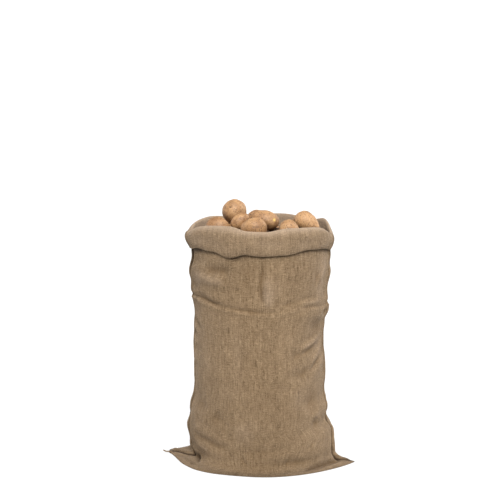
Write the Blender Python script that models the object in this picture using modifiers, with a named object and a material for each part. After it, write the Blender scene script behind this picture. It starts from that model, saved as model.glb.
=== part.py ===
"""Hessian sack filled with potatoes, its mouth rolled down into a cuff.

The sack is one length of jute cloth, folded across the bottom and sewn up both sides, so it is one
closed shell. It stands on a flat base whose two corners stick out as ears, one at each side seam.
A plain body stands for the potatoes that the cloth hides, and the ones heaped in the mouth are
separate pieces that are lowered until each comes to rest.

Metres, +Z up. The origin is the middle of the base on the floor, and +X runs to the right-hand seam.
An angle round the sack starts at +X and turns towards +Y, so the front of the sack is at 270.
"""
import math
from collections import namedtuple

import bmesh
import bpy
import numpy as np
from mathutils import Euler, Vector
from mathutils.bvhtree import BVHTree

CLOTH = 0.002              # thickness of the hessian
GAP = 0.0003               # clearance between pieces that touch
SEAM_ANGLES = (0.0, 180.0)  # where the two side seams run, before they turn forward

# Sections of the sack, from the floor to the rim, measured to the inner face of the cloth.
# left, right, front and back are half sizes. lens_left and lens_right draw an end out: 1 is round
# and 2 is a sharp wedge. seam_turn is how many degrees the seams sit forward of the widest line.
Level = namedtuple("Level", "z left right front back lens_left lens_right seam_turn")
LEVELS = (
    Level(0.0020, 0.273, 0.273, 0.168, 0.166, 1.50, 1.90, 0),
    Level(0.0032, 0.262, 0.263, 0.170, 0.168, 1.50, 1.85, 4),
    Level(0.0060, 0.243, 0.247, 0.172, 0.170, 1.45, 1.80, 9),
    Level(0.0105, 0.220, 0.232, 0.173, 0.171, 1.35, 1.65, 15),
    Level(0.0170, 0.200, 0.220, 0.173, 0.172, 1.20, 1.45, 19),
    Level(0.0290, 0.192, 0.211, 0.173, 0.172, 1.08, 1.25, 18),
    Level(0.0480, 0.193, 0.210, 0.173, 0.173, 1.02, 1.12, 14),
    Level(0.0720, 0.197, 0.208, 0.174, 0.174, 1.00, 1.06, 11),
    Level(0.0950, 0.200, 0.199, 0.175, 0.175, 1.00, 1.02, 9),
    Level(0.1250, 0.193, 0.190, 0.177, 0.176, 1.00, 1.00, 8),
    Level(0.1580, 0.189, 0.189, 0.178, 0.178, 1.00, 1.00, 8),
    Level(0.1950, 0.181, 0.183, 0.180, 0.180, 1.00, 1.00, 8),
    Level(0.2400, 0.178, 0.184, 0.181, 0.181, 1.00, 1.00, 8),
    Level(0.2950, 0.178, 0.181, 0.181, 0.181, 1.00, 1.00, 8),
    Level(0.3500, 0.178, 0.178, 0.180, 0.181, 1.00, 1.00, 8),
    Level(0.4100, 0.177, 0.182, 0.179, 0.180, 1.00, 1.00, 8),
    Level(0.4450, 0.183, 0.189, 0.178, 0.179, 1.00, 1.00, 8),
    Level(0.4900, 0.187, 0.186, 0.177, 0.178, 1.00, 1.00, 8),
    Level(0.5450, 0.189, 0.193, 0.176, 0.177, 1.00, 1.00, 9),
    Level(0.5900, 0.182, 0.194, 0.174, 0.175, 1.00, 1.00, 10),
    Level(0.6300, 0.186, 0.192, 0.173, 0.173, 1.00, 1.00, 12),
    Level(0.6800, 0.186, 0.189, 0.171, 0.171, 1.00, 1.00, 12),
)

# Heights of the loft's rows up the wall. They crowd together at the storage crease.
WALL_ROWS = (0.0020, 0.0032, 0.0060, 0.0105, 0.0170, 0.029, 0.045, 0.062, 0.080, 0.098, 0.118, 0.140,
             0.162, 0.184, 0.210, 0.240, 0.270, 0.300, 0.330, 0.360, 0.388, 0.412, 0.430, 0.441,
             0.450, 0.461, 0.474, 0.492, 0.512, 0.532, 0.552, 0.574, 0.600, 0.630)
FLOOR_RINGS = (0.45, 0.95)  # the base's rings, as shares of its outline

# The rolled cuff, by angle round the sack: the height of its rolled top edge, the height of its
# lower edge, and how far its face stands out from the inner face of the wall.
Cuff = namedtuple("Cuff", "angle rim edge bulge")
CUFF = (
    Cuff(0, 0.641, 0.600, 0.0150),
    Cuff(12, 0.646, 0.598, 0.0145),
    Cuff(32, 0.673, 0.600, 0.0150),
    Cuff(50, 0.664, 0.604, 0.0155),
    Cuff(78, 0.672, 0.606, 0.0155),
    Cuff(110, 0.667, 0.602, 0.0155),
    Cuff(138, 0.669, 0.606, 0.0155),
    Cuff(160, 0.656, 0.600, 0.0165),
    Cuff(182, 0.650, 0.603, 0.0185),
    Cuff(204, 0.657, 0.604, 0.0180),
    Cuff(222, 0.671, 0.612, 0.0170),
    Cuff(240, 0.680, 0.610, 0.0160),
    Cuff(255, 0.682, 0.598, 0.0165),
    Cuff(270, 0.671, 0.608, 0.0155),
    Cuff(284, 0.670, 0.605, 0.0155),
    Cuff(302, 0.678, 0.608, 0.0155),
    Cuff(326, 0.675, 0.616, 0.0160),
    Cuff(344, 0.658, 0.612, 0.0150),
)
MOUTH = 0.650              # the section of the wall that the cuff follows

# The cuff's section, from inside the rim, over it, down its face and up into the tuck under its
# lower edge. share is how far up it is from the lower edge to the rim, lift is added to that, and
# out is a share of the bulge.
CuffRow = namedtuple("CuffRow", "share lift out")
CUFF_ROWS = (
    CuffRow(1.00, -0.0080, 0.00),
    CuffRow(1.00, -0.0022, 0.12),
    CuffRow(1.00, 0.0000, 0.38),
    CuffRow(1.00, -0.0030, 0.64),
    CuffRow(1.00, -0.0100, 0.82),
    CuffRow(0.68, 0.0000, 0.97),
    CuffRow(0.42, 0.0000, 1.00),
    CuffRow(0.20, 0.0000, 0.92),
    CuffRow(0.06, 0.0000, 0.76),
    CuffRow(0.00, 0.0000, 0.57),
    CuffRow(0.00, 0.0030, 0.42),
    CuffRow(0.00, 0.0150, 0.40),
)

# The crease left by folding the empty sack for storage, by angle: its height on the wall.
Crease = namedtuple("Crease", "angle z")
CREASE = (Crease(0, 0.443), Crease(90, 0.452), Crease(180, 0.464), Crease(205, 0.467),
          Crease(235, 0.461), Crease(262, 0.450), Crease(285, 0.447), Crease(320, 0.455))
CREASE_MEAN = 0.454
CREASE_REACH = 0.060       # how far up and down the rows bend to follow the crease
CREASE_RIDGE = 0.0035      # the ridge stands out by this much
CREASE_VALLEY = 0.0030     # and the valley above it goes in by this much
CREASE_WIDTH = 0.011
CREASE_VALLEY_RISE = 0.0176  # from the ridge up to the middle of the valley

SEAM_GROOVE = 0.0050       # the sewn edges are turned in, which leaves a groove
GROOVE_HALF_ANGLE = 2.0
GROOVE_ON_CUFF = 0.6       # the groove is shallower on the cuff, by this factor
PUCKER = 0.0035            # the cloth gathers along its sewn edges, in waves
PUCKER_LENGTH = 0.076
PUCKER_ANGLE = 15.0        # the waves die out this far from the seam
PUCKER_RANGE = (0.07, 0.60)
PUCKER_END = 0.05          # the waves grow to full size over this height at both ends
PUCKER_SHIFTS = (1.3, 0.6)  # so that the two seams, and the two sides of one, are out of step

# Soft hollows and bulges: centre, half sizes, and how far in (or out, where negative) they go.
Hollow = namedtuple("Hollow", "name angle z half_angle half_height depth")
HOLLOWS = (
    Hollow("under_cuff_left", 236, 0.566, 13, 0.012, 0.0040),
    Hollow("below_that_bulge", 232, 0.536, 13, 0.016, -0.0030),
    Hollow("front_flat", 275, 0.530, 9, 0.060, 0.0030),
    Hollow("low_left", 224, 0.070, 14, 0.018, 0.0040),
    Hollow("left_corner", 205, 0.030, 7, 0.012, 0.0060),
    Hollow("low_right", 318, 0.030, 16, 0.012, 0.0080),
    Hollow("right_waist", 350, 0.395, 10, 0.020, 0.0050),
    Hollow("back_fold", 70, 0.330, 22, 0.018, 0.0040),
    Hollow("back_low", 125, 0.110, 18, 0.022, 0.0045),
)

RELIEF_FROM = 0.006        # folds fade in from this height, so the base keeps its outline
RELIEF_FULL = 0.026

# Degrees from a seam to the loft's points in each quarter, closest together at the seam.
QUARTER_STEPS = (0, 3.5, 8, 15, 24, 34, 45, 56, 67, 78.5)

# The potatoes that the cloth hides, as one body. Its top slopes down to the back.
CORE_INSET = 0.0125        # clear of the wall's hollows
CORE_FOOT = 0.90           # the base of the core, as a share of the section above it
CORE_ROWS = (0.0300, 0.095, 0.158, 0.240, 0.350, 0.430, 0.500, 0.560, 0.588)
CORE_TOP = 0.618           # height of the middle of its top
CORE_SLOPE = -0.190        # rise of its top for each metre towards the back
CORE_CROWN_RINGS = ((0.94, -0.010), (0.74, -0.002), (0.36, 0.0))

# Rings of potatoes laid on the core, evenly from one angle to another. share is how far out they
# lie, 1 being the wall. They vary in size by turns, from where size_start says, and each may roll
# into a lower place near by.
Ring = namedtuple("Ring", "name share count first last size_start")
RINGS = (
    Ring("outer", 0.775, 7, -9, 157.3, 8),
    Ring("middle", 0.420, 5, 20, 220, 5),
    Ring("centre", 0.060, 1, 300, 300, 1),
)
RING_SIZE = (0.072, 0.060, 0.051)   # length, width and height of a middling potato
RING_SIZE_SPREAD = 0.10
RING_TAPER = 0.10
RING_SKEW = 12             # how many degrees a potato may lie askew in its ring
RING_TILT = 6
SIZE_TURN, SKEW_TURN, TILT_TURN = 2.4, 3.1, 1.7  # steps of phase from one potato to the next

# The other potatoes in the mouth, in the order in which they are put in. heading turns the long
# axis from +X, tilt lifts its far end, taper narrows it, and one with roll 1 may roll as above.
Potato = namedtuple("Potato", "name x y length width height heading tilt taper roll")
POTATOES = (
    Potato("front_mid", 0.005, -0.122, 0.077, 0.060, 0.064, 185, -9, 0.16, 0),
    Potato("front_right", 0.100, -0.110, 0.056, 0.062, 0.069, 20, 4, 0.05, 0),
    Potato("front_left", -0.098, -0.088, 0.075, 0.058, 0.062, -4, -9, 0.12, 0),
    Potato("low_left", -0.056, -0.128, 0.056, 0.044, 0.036, 160, 0, 0.05, 1),
    Potato("under_long", 0.044, -0.030, 0.064, 0.054, 0.036, 20, 0, 0.05, 1),
    Potato("under_right", 0.110, -0.050, 0.062, 0.050, 0.044, 80, 0, 0.05, 1),
    Potato("leaning", -0.038, -0.084, 0.063, 0.045, 0.040, 32, 36, 0.08, 0),
    Potato("long_top", 0.023, -0.044, 0.090, 0.056, 0.053, -3, -10, -0.02, 0),
    Potato("right_top", 0.141, -0.062, 0.074, 0.060, 0.059, -8, -33, 0.32, 0),
    Potato("peak", -0.070, -0.002, 0.075, 0.070, 0.069, 60, 10, 0.12, 0),
    Potato("behind_peak", -0.070, 0.078, 0.070, 0.056, 0.050, 150, 0, 0.10, 1),
    Potato("behind_long", 0.004, 0.050, 0.074, 0.056, 0.050, 20, 0, 0.10, 1),
    Potato("behind_right", 0.098, 0.030, 0.070, 0.056, 0.050, 80, 0, 0.10, 1),
)
POTATO_SEGMENTS = 12
POTATO_RINGS = 8
LUMP_SHARE = 0.035         # how far a potato's skin strays from an oval, in these smooth waves
LumpWave = namedtuple("LumpWave", "x y z turn shift")
LUMP_WAVES = (
    LumpWave(2.3, 0.0, 0.0, 1.7, 0.0),
    LumpWave(0.0, 2.9, 0.0, 2.1, 0.8),
    LumpWave(0.0, 0.0, 2.5, 2.7, 1.9),
    LumpWave(3.1, 3.1, 0.0, 0.9, 0.0),
)
TAPER_CENTRE = -0.3        # where along a potato its taper leaves it as wide as its row says
DROP_FROM = 0.200          # potatoes are lowered from this far above the core
DROP_STEP = 0.004
DROP_ERROR = 0.00002
ROLL_STEP = 0.004
ROLL_TRIES = 4

HESSIAN_COLOR = (0.300, 0.215, 0.145, 1.0)
SKIN_COLOR = (0.560, 0.330, 0.150, 1.0)
CORE_COLOR = (0.420, 0.260, 0.130, 1.0)


def clear_scene():
    """Start from an empty scene."""
    for thing in list(bpy.data.objects):
        bpy.data.objects.remove(thing, do_unlink=True)


def make_collection(name):
    """A collection of the given name in the scene."""
    group = bpy.data.collections.new(name)
    bpy.context.scene.collection.children.link(group)
    return group


def make_material(name, color, roughness):
    """A plain Principled material."""
    material = bpy.data.materials.new(name)
    material.use_nodes = True
    shader = material.node_tree.nodes["Principled BSDF"]
    shader.inputs["Base Color"].default_value = color
    shader.inputs["Roughness"].default_value = roughness
    shader.inputs["Metallic"].default_value = 0.0
    material.diffuse_color = color
    return material


def smooth_through(xs, ys, x):
    """Value at x of a smooth curve through the points, with no overshoot between two of them."""
    i = min(max(int(np.searchsorted(xs, x)) - 1, 0), len(xs) - 2)
    span = xs[i + 1] - xs[i]
    rise = (ys[i + 1] - ys[i]) / span

    def slope(k):
        if k <= 0 or k >= len(xs) - 1:
            return 0.0
        before = (ys[k] - ys[k - 1]) / (xs[k] - xs[k - 1])
        after = (ys[k + 1] - ys[k]) / (xs[k + 1] - xs[k])
        return 0.0 if before * after <= 0 else 2.0 * before * after / (before + after)

    u = (x - xs[i]) / span
    bend_in = slope(i) - rise
    bend_out = rise - slope(i + 1)
    return ys[i] + span * rise * u + span * u * (1 - u) * (bend_in * (1 - u) + bend_out * u)


def around(rows, field, angle):
    """A value read from rows given by angle, smoothly and all the way round."""
    angles = [row.angle for row in rows]
    values = [getattr(row, field) for row in rows]
    angles = [angles[-1] - 360] + angles + [angles[0] + 360, angles[1] + 360]
    values = [values[-1]] + values + [values[0], values[1]]
    return smooth_through(angles, values, angle % 360)


def level_at(z):
    """The sack's section at a height, between the sections of the table."""
    heights = [level.z for level in LEVELS]
    values = [smooth_through(heights, [getattr(level, field) for level in LEVELS], z)
              for field in Level._fields[1:]]
    return Level(z, *values)


def fade(distance, reach):
    """A soft bump: 1 at no distance, and nearly 0 past the reach."""
    return math.exp(-(distance / reach) ** 2)


def turn_between(angle, other):
    """Degrees from one angle to the other, the short way round."""
    return (angle - other + 180) % 360 - 180


def relief(station, angle, z):
    """How far the wall stands out from its smooth section at a place."""
    crease_z = around(CREASE, "z", angle)
    out = CREASE_RIDGE * fade(z - crease_z, CREASE_WIDTH)
    out -= CREASE_VALLEY * fade(z - crease_z - CREASE_VALLEY_RISE, CREASE_WIDTH)
    for hollow in HOLLOWS:
        out -= (hollow.depth * fade(turn_between(angle, hollow.angle), hollow.half_angle)
                * fade(z - hollow.z, hollow.half_height))
    for number, seam in enumerate(SEAM_ANGLES):
        away = turn_between(station, seam)
        side = 1 if away > 0 else -1
        low, high = PUCKER_RANGE
        if low < z < high:
            phase = (2 * math.pi * z / PUCKER_LENGTH + number * PUCKER_SHIFTS[0]
                     + side * PUCKER_SHIFTS[1])
            ends = min(1.0, (z - low) / PUCKER_END, (high - z) / PUCKER_END)
            free = fade(away, PUCKER_ANGLE) - fade(away, 2 * GROOVE_HALF_ANGLE)
            out += PUCKER * math.sin(phase) * free * ends
        out -= SEAM_GROOVE * fade(away, GROOVE_HALF_ANGLE)
    return out


def stations():
    """The angles of the loft's points round the sack, before the seams turn forward."""
    quarter = list(QUARTER_STEPS)
    mirrored = [180 - step for step in reversed(quarter[1:])]
    half = quarter + [90] + mirrored
    return half + [180 + step for step in half]


def ring_point(level, station, out):
    """A point of a section, moved outward from the middle line."""
    turn = level.seam_turn * math.cos(math.radians(station))
    angle = math.radians(station - turn)
    right_side = math.cos(angle) > 0
    half_x = (level.right if right_side else level.left) + out
    half_y = (level.back if math.sin(angle) > 0 else level.front) + out
    lens = level.lens_right if right_side else level.lens_left
    x = half_x * math.cos(angle)
    y = half_y * math.copysign(abs(math.sin(angle)) ** lens, math.sin(angle))
    return x, y


def wall_point(station, z):
    """A point on the inner face of the wall, at a row's height."""
    angle = station - level_at(z).seam_turn * math.cos(math.radians(station))
    lift = (around(CREASE, "z", angle) - CREASE_MEAN) * fade(z - CREASE_MEAN, CREASE_REACH)
    height = z + lift
    share = min(1.0, max(0.0, (z - RELIEF_FROM) / (RELIEF_FULL - RELIEF_FROM)))
    x, y = ring_point(level_at(z), station, relief(station, angle, height) * share)
    return Vector((x, y, height))


def cuff_point(station, row):
    """A point of the cloth where it rolls over the rim and down the outside."""
    mouth = level_at(MOUTH)
    angle = station - mouth.seam_turn * math.cos(math.radians(station))
    rim = around(CUFF, "rim", angle)
    edge = around(CUFF, "edge", angle)
    z = edge + (rim - edge) * row.share + row.lift
    bulge = around(CUFF, "bulge", angle) * row.out
    near_seam = max(fade(turn_between(station, seam), GROOVE_HALF_ANGLE) for seam in SEAM_ANGLES)
    groove = GROOVE_ON_CUFF * SEAM_GROOVE * near_seam
    x, y = ring_point(mouth, station, bulge - groove)
    return Vector((x, y, z))


def sack_rings():
    """The rings of the cloth's inner face, from the base up the wall, over the rim and down."""
    angles = stations()
    edge = [wall_point(angle, WALL_ROWS[0]) for angle in angles]
    rings = [[Vector((p.x * share, p.y * share, p.z)) for p in edge] for share in FLOOR_RINGS]
    rings += [[wall_point(angle, z) for angle in angles] for z in WALL_ROWS]
    rings += [[cuff_point(angle, row) for angle in angles] for row in CUFF_ROWS]
    return rings


def skin_rings(name, rings, bottom, top, material, group):
    """A mesh object that joins the rings, with a middle point closing an end where one is given."""
    mesh = bpy.data.meshes.new(name)
    work = bmesh.new()
    verts = [[work.verts.new(point) for point in ring] for ring in rings]
    count = len(rings[0])
    for lower, upper in zip(verts, verts[1:]):
        for i in range(count):
            j = (i + 1) % count
            work.faces.new((lower[i], lower[j], upper[j], upper[i]))
    if bottom is not None:
        middle = work.verts.new(bottom)
        for i in range(count):
            work.faces.new((verts[0][(i + 1) % count], verts[0][i], middle))
    if top is not None:
        middle = work.verts.new(top)
        for i in range(count):
            work.faces.new((verts[-1][i], verts[-1][(i + 1) % count], middle))
    work.to_mesh(mesh)
    work.free()
    mesh.materials.append(material)
    mesh.shade_smooth()
    thing = bpy.data.objects.new(name, mesh)
    group.objects.link(thing)
    return thing


def make_sack(group):
    """The cloth: its inner face as one open surface, thickened outward."""
    material = make_material("hessian", HESSIAN_COLOR, 0.95)
    sack = skin_rings("sack", sack_rings(), Vector((0, 0, CLOTH)), None, material, group)
    thick = sack.modifiers.new("cloth", "SOLIDIFY")
    thick.thickness = CLOTH
    thick.offset = 1.0
    return sack


def core_rings():
    """The rings of the body of hidden potatoes, from its foot to the rings of its top."""
    angles = stations()[::2]
    foot_z = CLOTH + GAP
    rows = [level_at(z) for z in CORE_ROWS]
    rings = []
    for level in rows:
        points = [ring_point(level, angle, -CORE_INSET) for angle in angles]
        rings.append([Vector((x, y, level.z)) for x, y in points])
    foot = [Vector((p.x * CORE_FOOT, p.y * CORE_FOOT, foot_z)) for p in rings[0]]
    for share, drop in CORE_CROWN_RINGS:
        rings.append([Vector((p.x * share, p.y * share, CORE_TOP + CORE_SLOPE * p.y * share + drop))
                      for p in rings[len(rows) - 1]])
    return [foot] + rings


def make_core(group):
    """The hidden potatoes, as one plain body that stands on the sack's base."""
    material = make_material("potatoes_below", CORE_COLOR, 0.8)
    return skin_rings("filling_core", core_rings(), Vector((0, 0, CLOTH + GAP)),
                      Vector((0, 0, CORE_TOP)), material, group)


def lumpy(direction, number):
    """A potato's own unevenness in a direction, as a factor on its size."""
    total = 0.0
    for wave in LUMP_WAVES:
        across = wave.x * direction.x + wave.y * direction.y + wave.z * direction.z
        total += math.sin(across + wave.turn * number + wave.shift)
    return 1 + LUMP_SHARE * total / 2


def make_potato(row, number, material, group):
    """One potato: an oval with a narrower end and an uneven skin."""
    mesh = bpy.data.meshes.new("potato_" + row.name)
    work = bmesh.new()
    bmesh.ops.create_uvsphere(work, u_segments=POTATO_SEGMENTS, v_segments=POTATO_RINGS, radius=1)
    turn = Euler((0, math.radians(-row.tilt), math.radians(row.heading))).to_matrix()
    for vert in work.verts:
        lump = lumpy(vert.co.normalized(), number)
        narrow = 1 - row.taper * (vert.co.x - TAPER_CENTRE)
        oval = Vector((vert.co.x * row.length, vert.co.y * row.width * narrow,
                       vert.co.z * row.height * narrow))
        vert.co = turn @ (oval * lump / 2)
    work.to_mesh(mesh)
    work.free()
    mesh.materials.append(material)
    mesh.shade_smooth()
    potato = bpy.data.objects.new("potato_" + row.name, mesh)
    group.objects.link(potato)
    return potato


def evaluated_faces(thing):
    """An object's points in world space and its faces, with its modifiers."""
    graph = bpy.context.evaluated_depsgraph_get()
    shape = thing.evaluated_get(graph)
    mesh = shape.to_mesh()
    points = [thing.matrix_world @ vert.co for vert in mesh.vertices]
    faces = [tuple(face.vertices) for face in mesh.polygons]
    shape.to_mesh_clear()
    return points, faces


class Heap:
    """What a potato can come to rest on."""

    def __init__(self, things):
        self.points = []
        self.faces = []
        for thing in things:
            self.add(thing)

    def add(self, thing):
        """Put one more piece in the heap."""
        points, faces = evaluated_faces(thing)
        start = len(self.points)
        self.points += points
        self.faces += [tuple(start + i for i in face) for face in faces]
        self.tree = BVHTree.FromPolygons(self.points, self.faces)

    def touches(self, potato, place):
        """Whether a potato at a place comes nearer to the heap than the gap."""
        swollen = [place + vert.co + vert.normal * GAP for vert in potato.data.vertices]
        faces = [tuple(face.vertices) for face in potato.data.polygons]
        return bool(self.tree.overlap(BVHTree.FromPolygons(swollen, faces)))

    def rest_height(self, potato, x, y):
        """The height at which a potato lowered straight down comes to rest."""
        high = CORE_TOP + DROP_FROM
        while not self.touches(potato, Vector((x, y, high - DROP_STEP))):
            high -= DROP_STEP
        low = high - DROP_STEP
        while high - low > DROP_ERROR:
            middle = (high + low) / 2
            if self.touches(potato, Vector((x, y, middle))):
                low = middle
            else:
                high = middle
        return high


def settle(potato, row, heap):
    """Lower a potato onto the heap, and let it roll downhill a little if it may."""
    place = Vector((row.x, row.y, heap.rest_height(potato, row.x, row.y)))
    for _ in range(ROLL_TRIES if row.roll else 0):
        tries = []
        for eighth in range(8):
            x = place.x + ROLL_STEP * math.cos(eighth * math.pi / 4)
            y = place.y + ROLL_STEP * math.sin(eighth * math.pi / 4)
            tries.append(Vector((x, y, heap.rest_height(potato, x, y))))
        lowest = min(tries, key=lambda spot: spot.z)
        if lowest.z >= place.z:
            break
        place = lowest
    potato.location = place
    bpy.context.view_layer.update()
    heap.add(potato)


def ring_potatoes(ring):
    """The rows for one ring of potatoes, which lie along it."""
    rows = []
    level = level_at(CORE_TOP)
    for i in range(ring.count):
        angle = ring.first + (ring.last - ring.first) * i / max(1, ring.count - 1)
        x, y = ring_point(level._replace(seam_turn=0), angle, 0)
        size = [side * (1 + RING_SIZE_SPREAD * math.sin(i * SIZE_TURN + ring.size_start + turn))
                for turn, side in enumerate(RING_SIZE)]
        heading = angle + 90 + RING_SKEW * math.sin(i * SKEW_TURN)
        rows.append(Potato(f"{ring.name}_{i + 1:02d}", x * ring.share, y * ring.share, *size,
                           heading, RING_TILT * math.sin(i * TILT_TURN), RING_TAPER, 1))
    return rows


def make_potatoes(group, sack, core):
    """The potatoes in the mouth of the sack, each resting on those put in before it."""
    material = make_material("potato_skin", SKIN_COLOR, 0.6)
    bpy.context.view_layer.update()
    heap = Heap([sack, core])
    rows = [row for ring in RINGS for row in ring_potatoes(ring)] + list(POTATOES)
    for number, row in enumerate(rows):
        settle(make_potato(row, number, material, group), row, heap)


def main():
    """Build the sack, the hidden body of potatoes and the potatoes in its mouth."""
    clear_scene()
    group = make_collection("hessian_sack")
    sack = make_sack(group)
    core = make_core(group)
    make_potatoes(group, sack, core)


main()
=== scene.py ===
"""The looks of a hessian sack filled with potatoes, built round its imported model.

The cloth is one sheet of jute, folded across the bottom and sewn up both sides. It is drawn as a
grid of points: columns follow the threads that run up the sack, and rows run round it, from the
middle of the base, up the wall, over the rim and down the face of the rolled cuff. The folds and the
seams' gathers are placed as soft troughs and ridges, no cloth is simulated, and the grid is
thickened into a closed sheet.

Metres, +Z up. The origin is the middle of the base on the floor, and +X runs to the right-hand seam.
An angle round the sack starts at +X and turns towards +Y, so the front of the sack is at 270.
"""

import math
from collections import namedtuple

import bmesh
import bpy
import numpy as np
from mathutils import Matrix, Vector, noise
from mathutils.bvhtree import BVHTree


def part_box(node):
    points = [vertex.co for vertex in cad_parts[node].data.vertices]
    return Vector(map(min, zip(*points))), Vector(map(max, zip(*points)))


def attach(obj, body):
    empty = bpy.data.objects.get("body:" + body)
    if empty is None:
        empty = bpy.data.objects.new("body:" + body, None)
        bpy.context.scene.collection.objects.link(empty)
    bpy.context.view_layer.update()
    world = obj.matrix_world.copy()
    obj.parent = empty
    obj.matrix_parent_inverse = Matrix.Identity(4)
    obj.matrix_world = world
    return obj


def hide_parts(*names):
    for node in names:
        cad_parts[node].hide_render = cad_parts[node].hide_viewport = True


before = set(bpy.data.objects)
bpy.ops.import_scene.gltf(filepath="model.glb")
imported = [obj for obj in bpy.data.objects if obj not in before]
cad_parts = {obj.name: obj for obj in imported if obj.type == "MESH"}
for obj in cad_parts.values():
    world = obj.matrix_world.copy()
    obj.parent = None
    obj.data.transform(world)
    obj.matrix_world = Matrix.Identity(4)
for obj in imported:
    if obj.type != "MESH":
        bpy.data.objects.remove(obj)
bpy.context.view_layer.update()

# ---------------- sizes of the sack

CLOTH = 0.0018  # thickness of the hessian
BASE_Z = 0.002  # height of the base's upper face
SEAM_ANGLES = (0, 180)  # where the two side seams run, before they turn forward


def table(columns, *rows, defaults=()):
    """Rows with named columns."""
    row = namedtuple("row", columns, defaults=defaults)
    return [row(*values) for values in rows]


# Sections of the sack, from the floor to the rim, measured to the inner face of the cloth.
# left, right, front and back are half sizes. The turns are how many degrees each seam sits forward of
# the widest line. The lens values draw an end out: 1 is round and 2 is a sharp wedge.
LEVELS = table(
    "z left right front back turn_left turn_right lens_left lens_right lens_back_left lens_back_right",
    (0.002, 0.259, 0.27, 0.177, 0.166, 3, 0, 1.15, 1.72, 3.45, 2.6),
    (0.0032, 0.253, 0.264, 0.179, 0.168, 7, 3, 1.16, 1.7, 3.35, 2.55),
    (0.006, 0.24, 0.25, 0.18, 0.17, 12, 7, 1.18, 1.66, 3, 2.5),
    (0.0105, 0.221, 0.234, 0.18, 0.171, 24, 12, 1.16, 1.56, 2.3, 2.2),
    (0.017, 0.201, 0.221, 0.178, 0.172, 29, 12, 1.12, 1.42, 1.7, 1.7),
    (0.029, 0.19, 0.211, 0.175, 0.172, 22, 9, 1.06, 1.25, 1.25, 1.25),
    (0.048, 0.19, 0.21, 0.174, 0.173, 18, 8, 1.02, 1.12, 1.06, 1.1),
    (0.072, 0.194, 0.206, 0.174, 0.174, 17, 3, 1, 1.06, 1, 1.04),
    (0.095, 0.197, 0.2, 0.175, 0.175, 17, -1, 1, 1.02), (0.125, 0.19, 0.187, 0.177, 0.176, 17, 2),
    (0.158, 0.187, 0.187, 0.178, 0.178, 17, 0), (0.195, 0.179, 0.178, 0.18, 0.18, 18, -2),
    (0.24, 0.176, 0.179, 0.181, 0.181, 18, -2), (0.295, 0.176, 0.177, 0.181, 0.181, 18, -1),
    (0.35, 0.176, 0.174, 0.18, 0.181, 18, 0), (0.41, 0.175, 0.178, 0.179, 0.18, 18, 0),
    (0.445, 0.181, 0.187, 0.178, 0.179, 18, 0), (0.49, 0.184, 0.184, 0.177, 0.178, 18, 0),
    (0.545, 0.189, 0.189, 0.176, 0.177, 23, 0), (0.59, 0.188, 0.191, 0.174, 0.175, 27, 2),
    (0.63, 0.188, 0.192, 0.173, 0.173, 18, 3), (0.68, 0.186, 0.189, 0.171, 0.171, 12, 4),
    defaults=(1, 1, 1, 1))
# How far the left front of the base strays from that outline, by angle.
STRAYS = table(
    "angle out",
    (180, 0), (188, 0.001), (197, -0.008), (204, -0.01), (212, -0.007), (220, -0.001), (228, 0.004),
    (237, 0.009), (247, 0.008), (258, 0.003), (270, 0),
)
STRAY_TOP = (0.012, 0.040)  # they fade out between these heights
MOUTH = 0.650  # the section of the wall that the cuff follows

# The rolled cuff, by angle round the sack: the height of its rolled top edge, the height of its
# lower edge, how far its face stands out from the inner face of the wall, and how much of that is
# lost towards its lower edge.
CUFF = table(
    "angle rim edge bulge taper",
    (0, 0.644, 0.6, 0.0165, 0.4), (12, 0.649, 0.598, 0.0155, 0.3), (32, 0.673, 0.6, 0.0155),
    (50, 0.664, 0.604, 0.0155), (78, 0.672, 0.606, 0.0155), (110, 0.667, 0.602, 0.0155),
    (130, 0.666, 0.606, 0.0155), (146, 0.669, 0.602, 0.0155), (160, 0.6655, 0.602, 0.016, 0.3),
    (172, 0.66, 0.603, 0.0165, 0.6), (184, 0.648, 0.603, 0.018, 0.85), (196, 0.648, 0.602, 0.018, 0.8),
    (207, 0.657, 0.604, 0.0175, 0.4), (222, 0.671, 0.612, 0.017), (240, 0.68, 0.61, 0.016),
    (255, 0.682, 0.598, 0.0165), (270, 0.671, 0.608, 0.0155), (284, 0.67, 0.605, 0.0155),
    (302, 0.678, 0.608, 0.0155), (324, 0.676, 0.616, 0.0165), (336, 0.671, 0.614, 0.0165),
    (349, 0.656, 0.606, 0.0165, 0.3),
    defaults=(0,))
# The cuff's section, from inside the rim, over it, down its face and up into the tuck under its
# lower edge. share is how far up it is from the lower edge to the rim, lift is added to that, and
# out is a share of the bulge.
CUFF_ROWS = table(
    "share lift out",
    (1, -0.016, 0), (1, -0.0075, 0), (1, -0.0018, 0.1), (1, 0, 0.27), (1, -0.0026, 0.46), (0.88, 0, 0.72),
    (0.74, 0, 0.91), (0.57, 0, 1), (0.38, 0, 0.98), (0.21, 0, 0.87), (0.08, 0, 0.68), (0, 0, 0.48),
    (0, 0.004, 0.37), (0, 0.011, 0.36), (0, 0.019, 0.4),
)

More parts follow.
